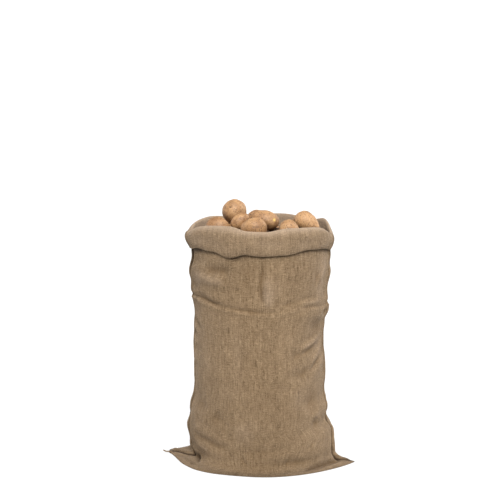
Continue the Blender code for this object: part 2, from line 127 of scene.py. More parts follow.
# The crease left by folding the empty sack for storage, by angle: its height on the wall, and how
# strongly it shows there.
CREASE = table(
    "angle z strength",
    (39, 0.448, 0.7), (90, 0.452, 0.9), (147, 0.458, 0.8), (189, 0.464, 0.9), (207, 0.467, 1.3),
    (219, 0.466, 1.4), (232, 0.462, 1), (246, 0.456, 0.8), (258, 0.452, 1), (268, 0.449, 1.5),
    (277, 0.446, 1.1), (286, 0.444, 0.7), (298, 0.448, 0.6), (313, 0.454, 0.6), (328, 0.451, 0.8),
    (345, 0.444, 1),
)
CREASE_MEAN = 0.454
CREASE_REACH = 0.060  # how far up and down the rows bend to follow the crease
CREASE_RIDGE = 0.0019  # the ridge stands out by this much
CREASE_VALLEY = 0.0034  # and the valley above it goes in by this much
CREASE_WIDTH = 0.0030  # the ridge is sharp and the valley is broader
CREASE_VALLEY_WIDTH = 0.0064
CREASE_VALLEY_RISE = 0.0085  # from the ridge up to the middle of the valley
CREASE_UNDER = 0.0003  # a shallower valley lies below the ridge
CREASE_UNDER_DROP = 0.012

# Soft hollows and bulges: centre, half sizes, and how far in (or out, where negative) they go.
SPOT = "angle z half_angle half_height size"
HOLLOWS = table(
    SPOT,
    # in front, from the top down
    (229, 0.535, 15, 0.014, -0.004), (274, 0.53, 9, 0.06, 0.003), (290, 0.5, 9, 0.04, -0.003),
    (270, 0.12, 13, 0.034, -0.003), (305, 0.034, 16, 0.012, 0.006),
    # at the right
    (354, 0.431, 3.5, 0.008, 0.007), (342, 0.395, 10, 0.02, 0.0045), (315, 0.331, 5, 0.011, 0.0046),
    (320, 0.277, 8, 0.016, 0.0054), (316, 0.215, 9, 0.03, -0.003), (332, 0.192, 10, 0.028, 0.0066),
    (3, 0.137, 8, 0.008, 0.006), (335, 0.127, 4, 0.01, 0.0054),
    # at the left
    (232, 0.3, 13, 0.04, -0.0024), (222, 0.176, 7, 0.014, 0.004), (243, 0.149, 7, 0.012, 0.0034),
    (221, 0.03, 7, 0.012, 0.005),
    # behind
    (160, 0.39, 10, 0.024, 0.0042), (67, 0.33, 22, 0.018, 0.0046), (115, 0.26, 16, 0.03, -0.0036),
    (32, 0.215, 9, 0.03, 0.0042), (130, 0.11, 18, 0.022, 0.005),
)

# Long folds: how deep each is (a ridge is negative), its half width, and the angles and heights of
# the points that it runs through. The last column is how much painted shade darkens the fold.
FOLD = "depth half_width angles heights dust"
FOLDS = table(
    FOLD,
    # under the cuff
    (0.006, 0.014, (229, 237, 246, 258), (0.548, 0.556, 0.56, 0.553)),
    (-0.0026, 0.014, (216, 229, 244, 255), (0.533, 0.533, 0.531, 0.534)),
    (-0.0034, 0.01, (343, 345, 341, 346), (0.585, 0.56, 0.53, 0.5)),
    (0.0034, 0.008, (330, 334, 331), (0.56, 0.535, 0.51)),
    # beside the storage crease
    (0.0034, 0.0085, (211, 223, 237, 250), (0.489, 0.481, 0.47, 0.466)),
    (-0.0018, 0.008, (296, 306, 325, 344), (0.452, 0.46, 0.473, 0.471)),
    (0.0024, 0.008, (293, 310, 322, 341), (0.47, 0.472, 0.482, 0.483)),
    (0.0012, 0.006, (310, 324, 337), (0.448, 0.455, 0.458)),
    # up the middle of the front
    (0.0062, 0.006, (283, 282, 281, 282, 282), (0.584, 0.552, 0.525, 0.488, 0.468)),
    (-0.0026, 0.008, (287, 286, 288, 288), (0.56, 0.53, 0.495, 0.46)),
    (0.0022, 0.005, (278, 276, 274), (0.425, 0.39, 0.325)),
    (0.0022, 0.005, (279, 279, 279), (0.308, 0.258, 0.205)),
    # at the right
    (-0.0052, 0.007, (349, 337, 327, 318), (0.366, 0.359, 0.353, 0.344)),
    (0.004, 0.007, (343, 330, 317), (0.346, 0.335, 0.329)),
    (-0.005, 0.007, (355, 350, 340, 330), (0.346, 0.334, 0.315, 0.303)),
    (0.0046, 0.008, (351, 340, 327), (0.308, 0.292, 0.276)),
    (-0.004, 0.008, (346, 336, 325), (0.16, 0.152, 0.15)),
    # low in front
    (0.0042, 0.013, (210, 221, 231, 245, 257), (0.09, 0.083, 0.08, 0.073, 0.072)),
    (-0.0022, 0.01, (215, 228, 240), (0.066, 0.06, 0.054)),
    (0.0016, 0.011, (264, 275, 288, 305), (0.069, 0.066, 0.07, 0.077)),
    (0.003, 0.005, (264, 267, 270), (0.062, 0.04, 0.018)),
    (0.0028, 0.005, (299, 301, 299), (0.07, 0.045, 0.02)),
    # behind
    (0.0046, 0.0085, (35, 56, 83, 115), (0.575, 0.52, 0.488, 0.474)),
    (-0.0038, 0.008, (22, 47, 74), (0.532, 0.5, 0.47)),
    (0.0052, 0.0075, (97, 120, 143, 158), (0.555, 0.562, 0.556, 0.545)),
    (0.0042, 0.008, (180, 157, 137, 131), (0.33, 0.3, 0.25, 0.205)),
    (-0.0036, 0.008, (178, 157, 144), (0.3, 0.272, 0.23)),
    (0.0044, 0.008, (0, 19, 43, 67), (0.18, 0.15, 0.12, 0.11)),
    (0.0044, 0.007, (102, 128, 155, 169), (0.07, 0.062, 0.072, 0.09)),
    (0.0026, 0.0046, (97, 95, 96), (0.43, 0.34, 0.23)),
    # at the left
    (0.004, 0.007, (195, 206, 219), (0.42, 0.4, 0.392)),
    (-0.0034, 0.007, (196, 208, 217), (0.392, 0.376, 0.372)),
    defaults=(0,))
# Folds pressed into the two corners, close to the floor. Some are darkened with painted shade.
FOOT_FOLDS = table(
    FOLD,
    # at the left
    (0.011, 0.0064, (209, 218, 223, 229), (0.018, 0.02, 0.016, 0.008), 0.8),
    (0.0036, 0.0026, (230, 227, 223), (0.003, 0.006, 0.012), 0.45),
    (-0.003, 0.0055, (212, 217, 222), (0.01, 0.01, 0.007)),
    (0.0046, 0.004, (166, 160, 152), (0.024, 0.019, 0.01)),
    # at the right
    (0.0096, 0.008, (305, 314, 322, 331, 341, 350), (0.006, 0.0075, 0.01, 0.011, 0.0105, 0.009), 0.12),
    (-0.0016, 0.005, (309, 324, 338, 352), (0.004, 0.006, 0.005, 0.004)),
    (0.0046, 0.004, (12, 20, 28), (0.026, 0.02, 0.01)),
    defaults=(0,))
# Folds on the cuff's face. Their heights are shares of the way from its edge to its rim.
CUFF_FOLDS = table(
    FOLD,
    # in front, from left to right
    (0.0016, 0.007, (198, 204, 206), (0.8, 0.6, 0.4)),
    (-0.0022, 0.016, (210, 229, 248, 258), (0.4, 0.4, 0.34, 0.24)),
    (0.0014, 0.006, (231, 229, 231), (0.98, 0.78, 0.52)),
    (0.0022, 0.0055, (266, 264, 262, 263), (1, 0.75, 0.45, 0.2)),
    (-0.0016, 0.014, (268, 284, 300), (0.44, 0.46, 0.42)),
    (0.0012, 0.012, (290, 306, 322), (0.74, 0.72, 0.7)),
    (0.0016, 0.005, (313, 316, 315), (0.95, 0.6, 0.3)),
    (-0.0016, 0.012, (308, 326, 340), (0.32, 0.32, 0.36)),
    (0.002, 0.006, (338, 342, 340), (0.9, 0.7, 0.45)),
    # behind
    (0.003, 0.01, (48, 70, 92), (0.6, 0.66, 0.58)), (-0.0028, 0.012, (60, 90, 118), (0.28, 0.3, 0.34)),
    (0.003, 0.007, (132, 130, 133), (0.95, 0.55, 0.2)), (0.0026, 0.006, (24, 27, 24), (0.95, 0.6, 0.25)),
    defaults=(0,))
FOLD_SHOULDER = 0.26  # the ridges beside a valley, as a share of its depth
FOLD_END = 0.030  # over which a fold dies out at each end
METRES_PER_DEGREE = 0.00322

SEAM_GROOVE = 0.0080  # the sewn edges are turned in, which leaves a groove
GROOVE_HALF_WIDTH = 0.0030
GROOVE_AT_FOOT = 2.2  # wider at the foot, where the corners are pressed flat, by this factor
GROOVE_ON_CUFF = 0.60  # and shallower on the cuff
FOOT_HEIGHT = (0.015, 0.150)  # the foot ends between these heights
FOOT_LINE = (0.0030, 0.0048)  # the crease along the stitches there: how deep, and its half width
FOOT_LINE_END = 0.008
GROOVE_SHUT = 0.30  # its depth where it is pinched shut, as a share
# How far each seam's groove gapes, by height: at 1 it is as deep as it gets, and above 1 it is wider.
GAPES = table(
    "z right left",
    (0, 1, 1), (0.09, 1, 1), (0.15, 0.95, 0.95), (0.185, 0.35, 0.95), (0.22, 0.15, 0.25),
    (0.27, 0.55, 0.15), (0.32, 0.15, 0.2), (0.342, 0.8, 0.75), (0.357, 0.1, 0.3), (0.372, 0.05, 0.85),
    (0.392, 0.05, 0.15), (0.428, 0.1, 0.1), (0.44, 0.7, 0.1), (0.452, 0.1, 0.1), (0.482, 0.05, 0.85),
    (0.505, 0.05, 0.25), (0.535, 0.05, 1), (0.56, 0.05, 1.8), (0.59, 0.05, 2.6), (0.605, 0.2, 2.6),
    (0.64, 0.8, 1), (0.66, 0.8, 0.1), (0.72, 0.8, 0.1),
)
LIP_FRONT = 0.0018  # the cloth swells on both sides of the groove, more so behind it
LIP_BACK = 0.0040
LIP_AWAY = 0.0095
LIP_HALF_WIDTH = 0.0055

# Each seam draws the cloth up in waves on both of its sides: how high and how long the waves are,
# where they start, how steeply they run off the seam, and how far they reach.
GATHERS = table(
    "seam side depth wave shift slope reach",
    (0, -1, 0.002, 0.071, 0.4, 0.25, 0.05), (0, 1, 0.003, 0.068, 1.9, -0.3, 0.07),
    (180, -1, 0.003, 0.074, 3.1, 0.35, 0.07), (180, 1, 0.0018, 0.07, 5.2, -0.28, 0.055),
)
GATHER_FROM = 0.016  # from the seam to where the waves are highest
GATHER_START = 0.003
GATHER_RANGE = (0.05, 0.62)  # the heights between which there are waves
GATHER_END = 0.05
GATHER_SIZES = (0.15, 1.4)  # the least and the most that a wave's height is multiplied by
GATHER_WANDER = 2.6  # how far the waves stray from an even beat, in radians
GATHER_WANDER_SIZE = 0.11
GATHER_SHARPNESS = 3  # narrow valleys between round crests

# Unevenness that the potatoes press into the cloth: how high and how wide the lumps are.
LUMPS = table("height size seed", (0.0022, 0.085, 3), (0.0014, 0.042, 11), (0.0006, 0.018, 23))

# Small creases, scattered: how many, and the spans that each size is drawn from.
CREASES = 64
CREASE_HEIGHTS = (0.06, 0.58)
CREASE_SLOPE = 0.5
CREASE_BEND = (-0.006, 0.006)
CREASE_LIMITS = (0.04, 0.59)
CREASE_LENGTH = (0.025, 0.080)
CREASE_DEPTH = (0.0006, 0.0017)
CREASE_HALF_WIDTH = (0.0026, 0.0048)
CREASE_SEED = 41

# Painted shade along the seams, in the corner folds, in the cuff's tuck and under the cuff:
SHADE_FRONT = 0.0030  # how wide it lies in front of a seam, and behind it
SHADE_BACK = 0.0052
SHADE_SHIFT = 0.0010  # how far behind the seam it is thickest
SHADE_AT_FOOT = 1.2  # wider at the foot, by this factor
SHADE_IN_TUCK = (0.80, 0.92)  # it starts between these shares of the way over the cuff
SHADE_UNDER_CUFF = 0.003  # and is thickest on the wall this far above the cuff's edge
SHADE_REACH = 0.0088
PALE_FROM = (0.618, 0.630)  # the inner face gets painted light, paler from between these heights
PALE_TO = (0.22, 0.42)  # to between these shares of the way over the cuff
PALE_CUFF = 0.16  # the cuff's face gets a little painted light too
# Painted highlights on the cloth: their middle, half sizes, and how pale they are.
PAINTED_HIGHLIGHTS = table(
    SPOT,
    (347, 0.555, 8, 0.034, 0.5), (343, 0.5, 6, 0.024, 0.34), (349, 0.425, 6, 0.016, 0.4),
    (343, 0.345, 5, 0.02, 0.36), (215, 0.524, 9, 0.012, 0.42), (287, 0.492, 4, 0.026, 0.26),
    (203, 0.425, 5, 0.03, 0.34), (206, 0.255, 4, 0.06, 0.22), (262, 0.33, 5, 0.09, 0.12),
    (98, 0.42, 9, 0.06, 0.16), (150, 0.3, 8, 0.05, 0.16), (40, 0.47, 8, 0.04, 0.18),
)
RELIEF_FROM = 0.004  # folds fade in from this height, so the base keeps its outline
RELIEF_FULL = 0.020
FOOT_FROM = 0.0024
FOOT_FULL = 0.0060
FLAP_LEAST = 0.0012  # the corners' upper layer lies at least this far above the lower one

# ---------------- maths


def smooth_through(xs, ys, x):
    """Value at x of a smooth curve through the points, with no overshoot between two of them."""
    xs, ys = np.asarray(xs, float), np.asarray(ys, float)
    span = np.diff(xs)
    rise = np.diff(ys) / span
    slope = np.zeros(len(xs))
    before, after = rise[:-1], rise[1:]
    same_way = before * after > 0
    slope[1:-1][same_way] = (2 * before * after)[same_way] / (before + after)[same_way]
    i = np.clip(np.searchsorted(xs, x) - 1, 0, len(xs) - 2)
    u = (x - xs[i]) / span[i]
    bend_in = slope[i] - rise[i]
    bend_out = rise[i] - slope[i + 1]
    return ys[i] + span[i] * rise[i] * u + span[i] * u * (1 - u) * (bend_in * (1 - u) + bend_out * u)


def around(rows, field, angle):
    """Values read from rows given by angle, smoothly and all the way round."""
    angles = [row.angle for row in rows]
    values = [getattr(row, field) for row in rows]
    angles = [angles[-1] - 360] + angles + [angles[0] + 360, angles[1] + 360]
    values = [values[-1]] + values + [values[0], values[1]]
    return smooth_through(angles, values, np.asarray(angle, float) % 360)


def fade(distance, reach):
    """A soft bump: 1 at no distance, and nearly 0 past the reach."""
    return np.exp(-(distance / reach) ** 2)


def ramp(x, start, end):
    """0 before the start, 1 after the end, and smooth between them."""
    t = np.clip((x - start) / (end - start), 0, 1)
    return t * t * (3 - 2 * t)


def turn_between(angle, other):
    """Degrees from one angle to the other, the short way round."""
    return (angle - other + 180) % 360 - 180


def curve_through(rings, parts):
    """More rings between the given ones, on a smooth curve through them (Catmull-Rom)."""
    rings = np.asarray(rings)
    ends = np.concatenate([2 * rings[:1] - rings[1:2], rings, 2 * rings[-1:] - rings[-2:-1]])
    made = []
    for k, count in enumerate(parts):
        p0, p1, p2, p3 = ends[k:k + 4]
        for step in range(count):
            t = step / count
            made.append(0.5 * (2 * p1 + (p2 - p0) * t + (2 * p0 - 5 * p1 + 4 * p2 - p3) * t ** 2
                               + (3 * p1 - p0 - 3 * p2 + p3) * t ** 3))
    return np.array(made + [rings[-1]])


def distances(steps):
    """How far along each point is, from the steps between them."""
    return np.concatenate([[0], np.cumsum(steps)])


def noise_at(points, scale, seed):
    """Smooth noise from about -1 to 1 at an array of points."""
    flat = np.asarray(points, float).reshape(-1, 3) / scale + seed
    values = [noise.noise(Vector(point)) for point in flat]
    return np.array(values).reshape(np.shape(points)[:-1])


# ---------------- the grid of the cloth


class Section:
    """The sack's section at given heights."""

    def __init__(self, z):
        self.z = z
        heights = [level.z for level in LEVELS]
        for field in LEVELS[0]._fields[1:]:
            values = [getattr(level, field) for level in LEVELS]
            setattr(self, field, smooth_through(heights, values, z))

    def angle(self, station):
        """The angle at which a column stands, the seams being turned forward."""
        cosine = np.cos(np.radians(station))
        return station - np.where(cosine > 0, self.turn_right, self.turn_left) * cosine

    def place(self, angle, out):
        """x and y at an angle round this section, moved outward from the inner face."""
        sine, cosine = np.sin(np.radians(angle)), np.cos(np.radians(angle))
        angles, strays = zip(*STRAYS)
        held = np.clip(np.asarray(angle) % 360, angles[0], angles[-1])
        out = out + smooth_through(angles, strays, held) * (1 - ramp(self.z, *STRAY_TOP))
        half_x = np.where(cosine > 0, self.right, self.left) + out
        half_y = np.where(sine > 0, self.back, self.front) + out
        right = np.where(sine > 0, self.lens_back_right, self.lens_right)
        left = np.where(sine > 0, self.lens_back_left, self.lens_left)
        lens = np.where(cosine > 0, right, left)
        return half_x * cosine, half_y * np.sign(sine) * np.abs(sine) ** lens

    def ring(self, angle, out, z):
        """A row of points round this section, at given heights."""
        x, y = self.place(angle, out)
        return np.stack([x, y, z + 0 * x], -1)


def on_wall(angle, z):
    """A point of the smooth wall."""
    x, y = Section(z).place(angle, 0)
    return np.array((x, y, z), float)


def cuff_at(angle):
    """The cuff's rim, edge, bulge and taper at an angle."""
    return [around(CUFF, field, angle) for field in CUFF[0]._fields[1:]]


def on_cuff(angle, share):
    """A point of the smooth face of the cuff, a share of the way up it."""
    rim, edge, bulge, _ = cuff_at(angle)
    x, y = Section(MOUTH).place(angle, bulge)
    return np.array((x, y, edge + (rim - edge) * share), float)


SEAM_STEPS = (0, 0.3, 0.6, 0.95, 1.4, 2.0, 2.8, 3.8, 5.0, 6.4, 8.0)  # degrees, closer at the seam
COLUMN_STEPS = 42  # from there to the middle of a panel


def columns():
    """The stations of the grid's columns, closest together at the two seams."""
    plain = np.linspace(SEAM_STEPS[-1], 90, COLUMN_STEPS + 1)[1:]
    quarter = np.concatenate([SEAM_STEPS, plain])
    half = np.concatenate([quarter, 180 - quarter[-2:0:-1]])
    return np.concatenate([half, 180 + half])


# Rows up the wall: heights where the spacing changes, and how many rows lie between two of them.
WALL_STOPS = (0.0020, 0.0060, 0.0170, 0.0340, 0.0700, 0.4200, 0.4900, 0.5700)
WALL_PARTS = (7, 8, 8, 10, 66, 19, 15)
ROWS_UNDER_CUFF = 9
UNDER_CUFF_CALM = 0.3  # a share of the way up there, past which the wall is smooth
FLOOR_SHARES = (0.10, 0.25, 0.42, 0.58, 0.72, 0.84, 0.93)  # the base's rings, by size
CUFF_PARTS = (2, 2, 3, 3, 3, 3, 4, 4, 3, 3, 3, 3, 3, 2)
# As shares of the way over the cuff: where its face starts and ends, and where the groove ends.
FACE_START, FACE_END, GROOVE_END = (0.20, 0.34), (0.82, 0.94), (0.88, 1.0)
CUFF_SEED = 70


def spine(angles, heights, place):
    """Points closely along a fold, on the surface that place gives."""
    steps = np.arange(len(angles))
    fine = np.linspace(0, steps[-1], 6 * steps[-1] + 1)
    angles = smooth_through(steps, np.unwrap(angles, period=360), fine)
    return np.array([place(*point) for point in zip(angles, smooth_through(steps, heights, fine))])


def fold_depth(spine, depth, half_width, points, fade_over=FOLD_END):
    """How far in a fold along a spine pushes the cloth at the given points."""
    reach = 4.5 * half_width
    low, high = spine.min(0) - reach, spine.max(0) + reach
    near = np.all((points > low) & (points < high), axis=-1)
    found = np.zeros(points.shape[:-1])
    if not near.any():
        return found
    p = points[near]
    nearest = np.full(len(p), 9.0)
    along = np.zeros(len(p))
    total = 0.0
    for a, b in zip(spine, spine[1:]):
        step = b - a
        length = np.linalg.norm(step)
        t = np.clip((p - a) @ step / length ** 2, 0, 1)
        away = np.linalg.norm(p - a - t[:, None] * step, axis=1)
        closer = away < nearest
        nearest = np.where(closer, away, nearest)
        along = np.where(closer, total + t * length, along)
        total += length
    end = min(fade_over, total / 2)
    profile = fade(nearest, half_width) - FOLD_SHOULDER * fade(nearest - 2 * half_width, half_width)
    found[near] = depth * profile * ramp(along, 0, end) * ramp(total - along, 0, end)
    return found


def folded(folds, place, points):
    """How far in a table's folds push the cloth at the given points."""
    return sum(fold_depth(spine(fold.angles, fold.heights, place), fold.depth, fold.half_width, points)
               for fold in folds)


def spots(rows, angle, z):
    """The sum of a table's soft spots."""
    return sum(spot.size * fade(turn_between(angle, spot.angle), spot.half_angle)
               * fade(z - spot.z, spot.half_height) for spot in rows)


def seam_distance(station, seam):
    """Metres round the sack from a seam, positive where the station is greater."""
    return turn_between(station, seam) * METRES_PER_DEGREE


def gathers(stations, points):
    """How far out the gathered seams push the wall."""
    z = points[..., 2]
    low, high = GATHER_RANGE
    ends = ramp(z, low, low + GATHER_END) * ramp(-z, -high, -high + GATHER_END)
    out = np.zeros(z.shape)
    for number, gather in enumerate(GATHERS):
        away = gather.side * seam_distance(stations, gather.seam)[None, :] + 0 * z
        wander = GATHER_WANDER * noise_at(points * (0.35, 0.35, 1), GATHER_WANDER_SIZE, 31.0 * number)
        phase = math.pi * (z + gather.slope * away) / gather.wave + gather.shift + wander
        crest = 1 - 2 * np.abs(np.cos(phase)) ** GATHER_SHARPNESS
        size = 0.65 + 0.9 * noise_at(points, 2 * GATHER_WANDER_SIZE, 57.0 + number)
        rise = np.where(away > 0, ramp(away, GATHER_START, GATHER_FROM), 0)
        fall = fade(np.maximum(away - GATHER_FROM, 0), gather.reach)
        out += gather.depth * crest * np.clip(size, *GATHER_SIZES) * rise * fall * ends
    return out


def behind_seam(stations, seam):
    """Metres round the sack from a seam, positive towards the back."""
    return seam_distance(stations, seam)[None, :] * (1 if seam == SEAM_ANGLES[0] else -1)


def seam_opening(z):
    """How far the grooves of the right and the left seam gape at a height."""
    heights, *shares = zip(*GAPES)
    return [np.interp(z, heights, share) for share in shares]


def at_foot(z, factor):
    """The factor at the foot of the sack, falling to 1 above it."""
    return factor + (1 - factor) * ramp(z, *FOOT_HEIGHT)


def groove(stations, points, strength):
    """How far in the sewn edges draw the cloth, and how far it swells beside them."""
    wider = at_foot(points[..., 2], GROOVE_AT_FOOT)
    out = np.zeros(points.shape[:-1])
    for seam, gape in zip(SEAM_ANGLES, seam_opening(points[..., 2])):
        back = behind_seam(stations, seam) / wider
        depth = GROOVE_SHUT + (1 - GROOVE_SHUT) * np.minimum(gape, 1)
        out -= SEAM_GROOVE * depth * fade(back, GROOVE_HALF_WIDTH * np.maximum(gape, 1))
        out += LIP_FRONT * fade(back + LIP_AWAY, LIP_HALF_WIDTH)
        out += LIP_BACK * fade(back - LIP_AWAY, LIP_HALF_WIDTH)
    return out * strength


def main_crease(angle, z):
    """How far out the storage crease pushes the wall."""
    strength = around(CREASE, "strength", angle)
    above = z - around(CREASE, "z", angle)
    out = CREASE_RIDGE * fade(above, CREASE_WIDTH)
    out -= CREASE_VALLEY * fade(above - CREASE_VALLEY_RISE, CREASE_VALLEY_WIDTH)
    out -= CREASE_UNDER * fade(above + CREASE_UNDER_DROP, CREASE_WIDTH)
    return out * strength


def small_creases():
    """Spines, depths and half widths of the scattered creases."""
    random = np.random.default_rng(CREASE_SEED)
    made = []
    t = np.array((-0.5, 0, 0.5))
    for _ in range(CREASES):
        angle, z = random.uniform(0, 360), random.uniform(*CREASE_HEIGHTS)
        slope = random.normal(0, CREASE_SLOPE)
        length = random.uniform(*CREASE_LENGTH) * t
        rise = math.sin(slope) * length + random.uniform(*CREASE_BEND) * (1 - 4 * t * t)
        angles = angle + math.cos(slope) * length / METRES_PER_DEGREE
        line = spine(angles, np.clip(z + rise, *CREASE_LIMITS), on_wall)
        made.append((line, random.uniform(*CREASE_DEPTH), random.uniform(*CREASE_HALF_WIDTH)))
    return made


def foot_lines(wall, seam_columns):
    """The crease along each seam at the foot, from 0 to 1."""
    found = np.zeros(wall.shape[:2])
    for column in seam_columns:
        line = wall[wall[:, column, 2] < FOOT_HEIGHT[1], column]
        found += np.clip(fold_depth(line, 1, FOOT_LINE[1], wall, FOOT_LINE_END), 0, 1)
    return found


def wall_relief(stations, angle, points):
    """How far the wall stands out from its smooth shape."""
    z = points[..., 2]
    out = main_crease(angle, z) - folded(FOLDS, on_wall, points) - spots(HOLLOWS, angle, z)
    for line, depth, half_width in small_creases():
        out -= fold_depth(line, depth, half_width, points)
    for lumps in LUMPS:
        out += lumps.height * noise_at(points, lumps.size, lumps.seed)
    out += gathers(stations, points)
    foot = folded(FOOT_FOLDS, on_wall, points) * ramp(z, FOOT_FROM, FOOT_FULL)
    return out * ramp(z, RELIEF_FROM, RELIEF_FULL) - foot


def smooth_grid(stations):
    """The grid before any folds: its rows, and the rows where the wall and the cuff start."""
    heights = [WALL_STOPS[0]]
    for low, high, count in zip(WALL_STOPS, WALL_STOPS[1:], WALL_PARTS):
        heights += [low + (high - low) * (k + 1) / count for k in range(count)]
    wall = []
    for z in heights:
        section = Section(z)
        angle = section.angle(stations)
        lift = (around(CREASE, "z", angle) - CREASE_MEAN) * fade(z - CREASE_MEAN, CREASE_REACH)
        wall.append(section.ring(angle, 0, z + lift))
    mouth = Section(MOUTH)
    angle = mouth.angle(stations)
    rim, edge, bulge, taper = cuff_at(angle)
    controls = [mouth.ring(angle, bulge * row.out * (1 - taper * (1 - row.share) ** 2),
                           edge + (rim - edge) * row.share + row.lift) for row in CUFF_ROWS]
    under = []
    for k in range(1, ROWS_UNDER_CUFF + 1):
        z = wall[-1][:, 2] + (controls[0][:, 2] - wall[-1][:, 2]) * k / (ROWS_UNDER_CUFF + 1)
        section = Section(z)
        under.append(section.ring(section.angle(stations), 0, z))
    floor = [wall[0] * (share, share, 1) for share in FLOOR_SHARES]
    starts = len(floor), len(floor) + len(wall) + len(under)
    return np.array(floor + wall + under + list(curve_through(controls, CUFF_PARTS))), starts


def outward(grid):
    """The unit normals of a grid of rows that run round the sack."""
    across = np.roll(grid, -1, 1) - np.roll(grid, 1, 1)
    up = np.gradient(grid, axis=0)
    normal = np.cross(across, up)
    return normal / np.linalg.norm(normal, axis=2, keepdims=True)


def cloth_grid():
    """The grid before and after its folds, how far those stand out, and where its parts start."""
    stations = columns()
    smooth, (wall_from, cuff_from) = smooth_grid(stations)
    normals = outward(smooth)
    wall, cuff = smooth[wall_from:cuff_from], smooth[cuff_from:]
    row_angle = np.array([Section(z).angle(stations) for z in wall[:, 0, 2]]) % 360
    share_up = np.arange(len(wall)) - (len(wall) - ROWS_UNDER_CUFF)
    calm = 1 - ramp(share_up / ROWS_UNDER_CUFF, UNDER_CUFF_CALM, 1.0)
    relief = np.zeros(smooth.shape[:2])
    relief[wall_from:cuff_from] = wall_relief(stations, row_angle, wall) * calm[:, None]
    strength = GROOVE_ON_CUFF + (1 - GROOVE_ON_CUFF) * calm
    sewn = groove(stations, wall, strength[:, None]) * ramp(wall[..., 2], FOOT_FROM, FOOT_FULL)
    out = relief[wall_from:cuff_from] + sewn - FOOT_LINE[0] * foot_lines(wall, (0, len(stations) // 2))
    moved = wall + normals[wall_from:cuff_from] * out[..., None]
    moved[1:, :, 2] = np.maximum(moved[1:, :, 2], np.minimum(wall[1:, :, 2], BASE_Z + FLAP_LEAST))
    folds = folded(CUFF_FOLDS, on_cuff, cuff)
    lumps = sum(lump.height * noise_at(cuff, lump.size, lump.seed + CUFF_SEED) for lump in LUMPS)
    t = np.linspace(0, 1, len(cuff))
    on_face = (ramp(t, *FACE_START) * (1 - ramp(t, *FACE_END)))[:, None]
    in_tuck = (1 - ramp(t, *GROOVE_END))[:, None]
    relief[cuff_from:] = (lumps - folds) * on_face
    out = relief[cuff_from:] + groove(stations, cuff, GROOVE_ON_CUFF * in_tuck)
    grid = np.concatenate([smooth[:wall_from], moved, cuff + normals[cuff_from:] * out[..., None]])
    return grid, smooth, relief, stations, wall_from, cuff_from


def cavity(grid, smooth, stations, wall_from, cuff_from):
    """Painted shade, from 0 to 1: in the seams, the corner folds, the tuck and under the cuff."""
    z = grid[..., 2]
    deep = np.zeros(z.shape)
    for seam, gape in zip(SEAM_ANGLES, seam_opening(z)):
        back = behind_seam(stations, seam) / (at_foot(z, SHADE_AT_FOOT) * np.maximum(gape, 1)) - SHADE_SHIFT
        spread = np.where(back < 0, fade(back, SHADE_FRONT), fade(back, SHADE_BACK))
        deep += np.minimum(gape, 1) * spread
    deep[:wall_from] = 0
    wall = smooth[wall_from:cuff_from]
    deep[wall_from:cuff_from] += foot_lines(wall, (0, len(stations) // 2))
    for fold in FOOT_FOLDS:
        if fold.dust:
            pressed = fold_depth(spine(fold.angles, fold.heights, on_wall), 1, fold.half_width, wall)
            deep[wall_from:cuff_from] += fold.dust * np.clip(pressed, 0, 1)
    rows = np.arange(len(grid))
    over = (rows - cuff_from) / (len(grid) - cuff_from - 1)
    # painted shadow on the wall just under the cuff's edge
    lowest = cuff_at(Section(MOUTH).angle(stations))[1] + SHADE_UNDER_CUFF
    under = fade(z - lowest, SHADE_REACH) * (rows < cuff_from)[:, None]
    deep += under + ramp(over, *SHADE_IN_TUCK)[:, None]
    return np.clip(deep, 0, 1)


def painted_paleness(grid, cuff_from):
    """Painted light, from 0 to 1: the inner face, which shows at the mouth, the cuff and patches."""
    rows = np.arange(len(grid))
    angle = np.degrees(np.arctan2(grid[..., 1], grid[..., 0]))
    highlights = spots(PAINTED_HIGHLIGHTS, angle, grid[..., 2])
    over = (rows - cuff_from) / (len(grid) - cuff_from - 1)
    inside = ramp(grid[..., 2], *PALE_FROM) * (rows < cuff_from)[:, None]
    turned = (over >= 0) * (PALE_CUFF + (1 - PALE_CUFF) * (1 - ramp(over, *PALE_TO)))
    return np.maximum(inside, turned[:, None]) + highlights * (rows < cuff_from)[:, None]


# ---------------- making meshes


def mesh_object(name, points, faces, material=None, smooth=True):
    """A mesh object from points and faces, in the scene's own collection."""
    mesh = bpy.data.meshes.new(name)
    mesh.from_pydata([tuple(p) for p in points], [], faces)
    mesh.validate()
    if smooth:
        mesh.shade_smooth()
    if material:
        mesh.materials.append(material)
    thing = bpy.data.objects.new(name, mesh)
    bpy.context.scene.collection.objects.link(thing)
    return thing


def store(thing, fields):
    """Give a mesh's points some values, which its material reads by name."""
    for name, values in fields.items():
        layer = thing.data.attributes.new(name, "FLOAT", "POINT")
        layer.data.foreach_set("value", values.astype(np.float32))


def ring_faces(rings, columns, way=1):
    """Quads between rings of points that follow one another."""
    starts = [ring * columns for ring in range(rings)]
    return [(a + c, a + (c + way) % columns, b + (c + way) % columns, b + c)
            for a, b in zip(starts, starts[1:]) for c in range(columns)]


def fan(first, columns, hub, way=1):
    """Triangles from a ring of points to one point."""
    return [(first + c, first + (c + way) % columns, hub) for c in range(columns)]


PLAIN_ROW = 60  # of the wall, a third of the way up, clear of the foot and the cuff


def thread_lengths(grid, first):
    """Each column's distance round the cloth and each row's distance up it, in metres."""
    row = grid[first + PLAIN_ROW]
    steps = np.linalg.norm(np.roll(row, -1, 0) - row, axis=1)
    return distances(steps), distances(np.linalg.norm(np.diff(grid, axis=0), axis=2).mean(1))


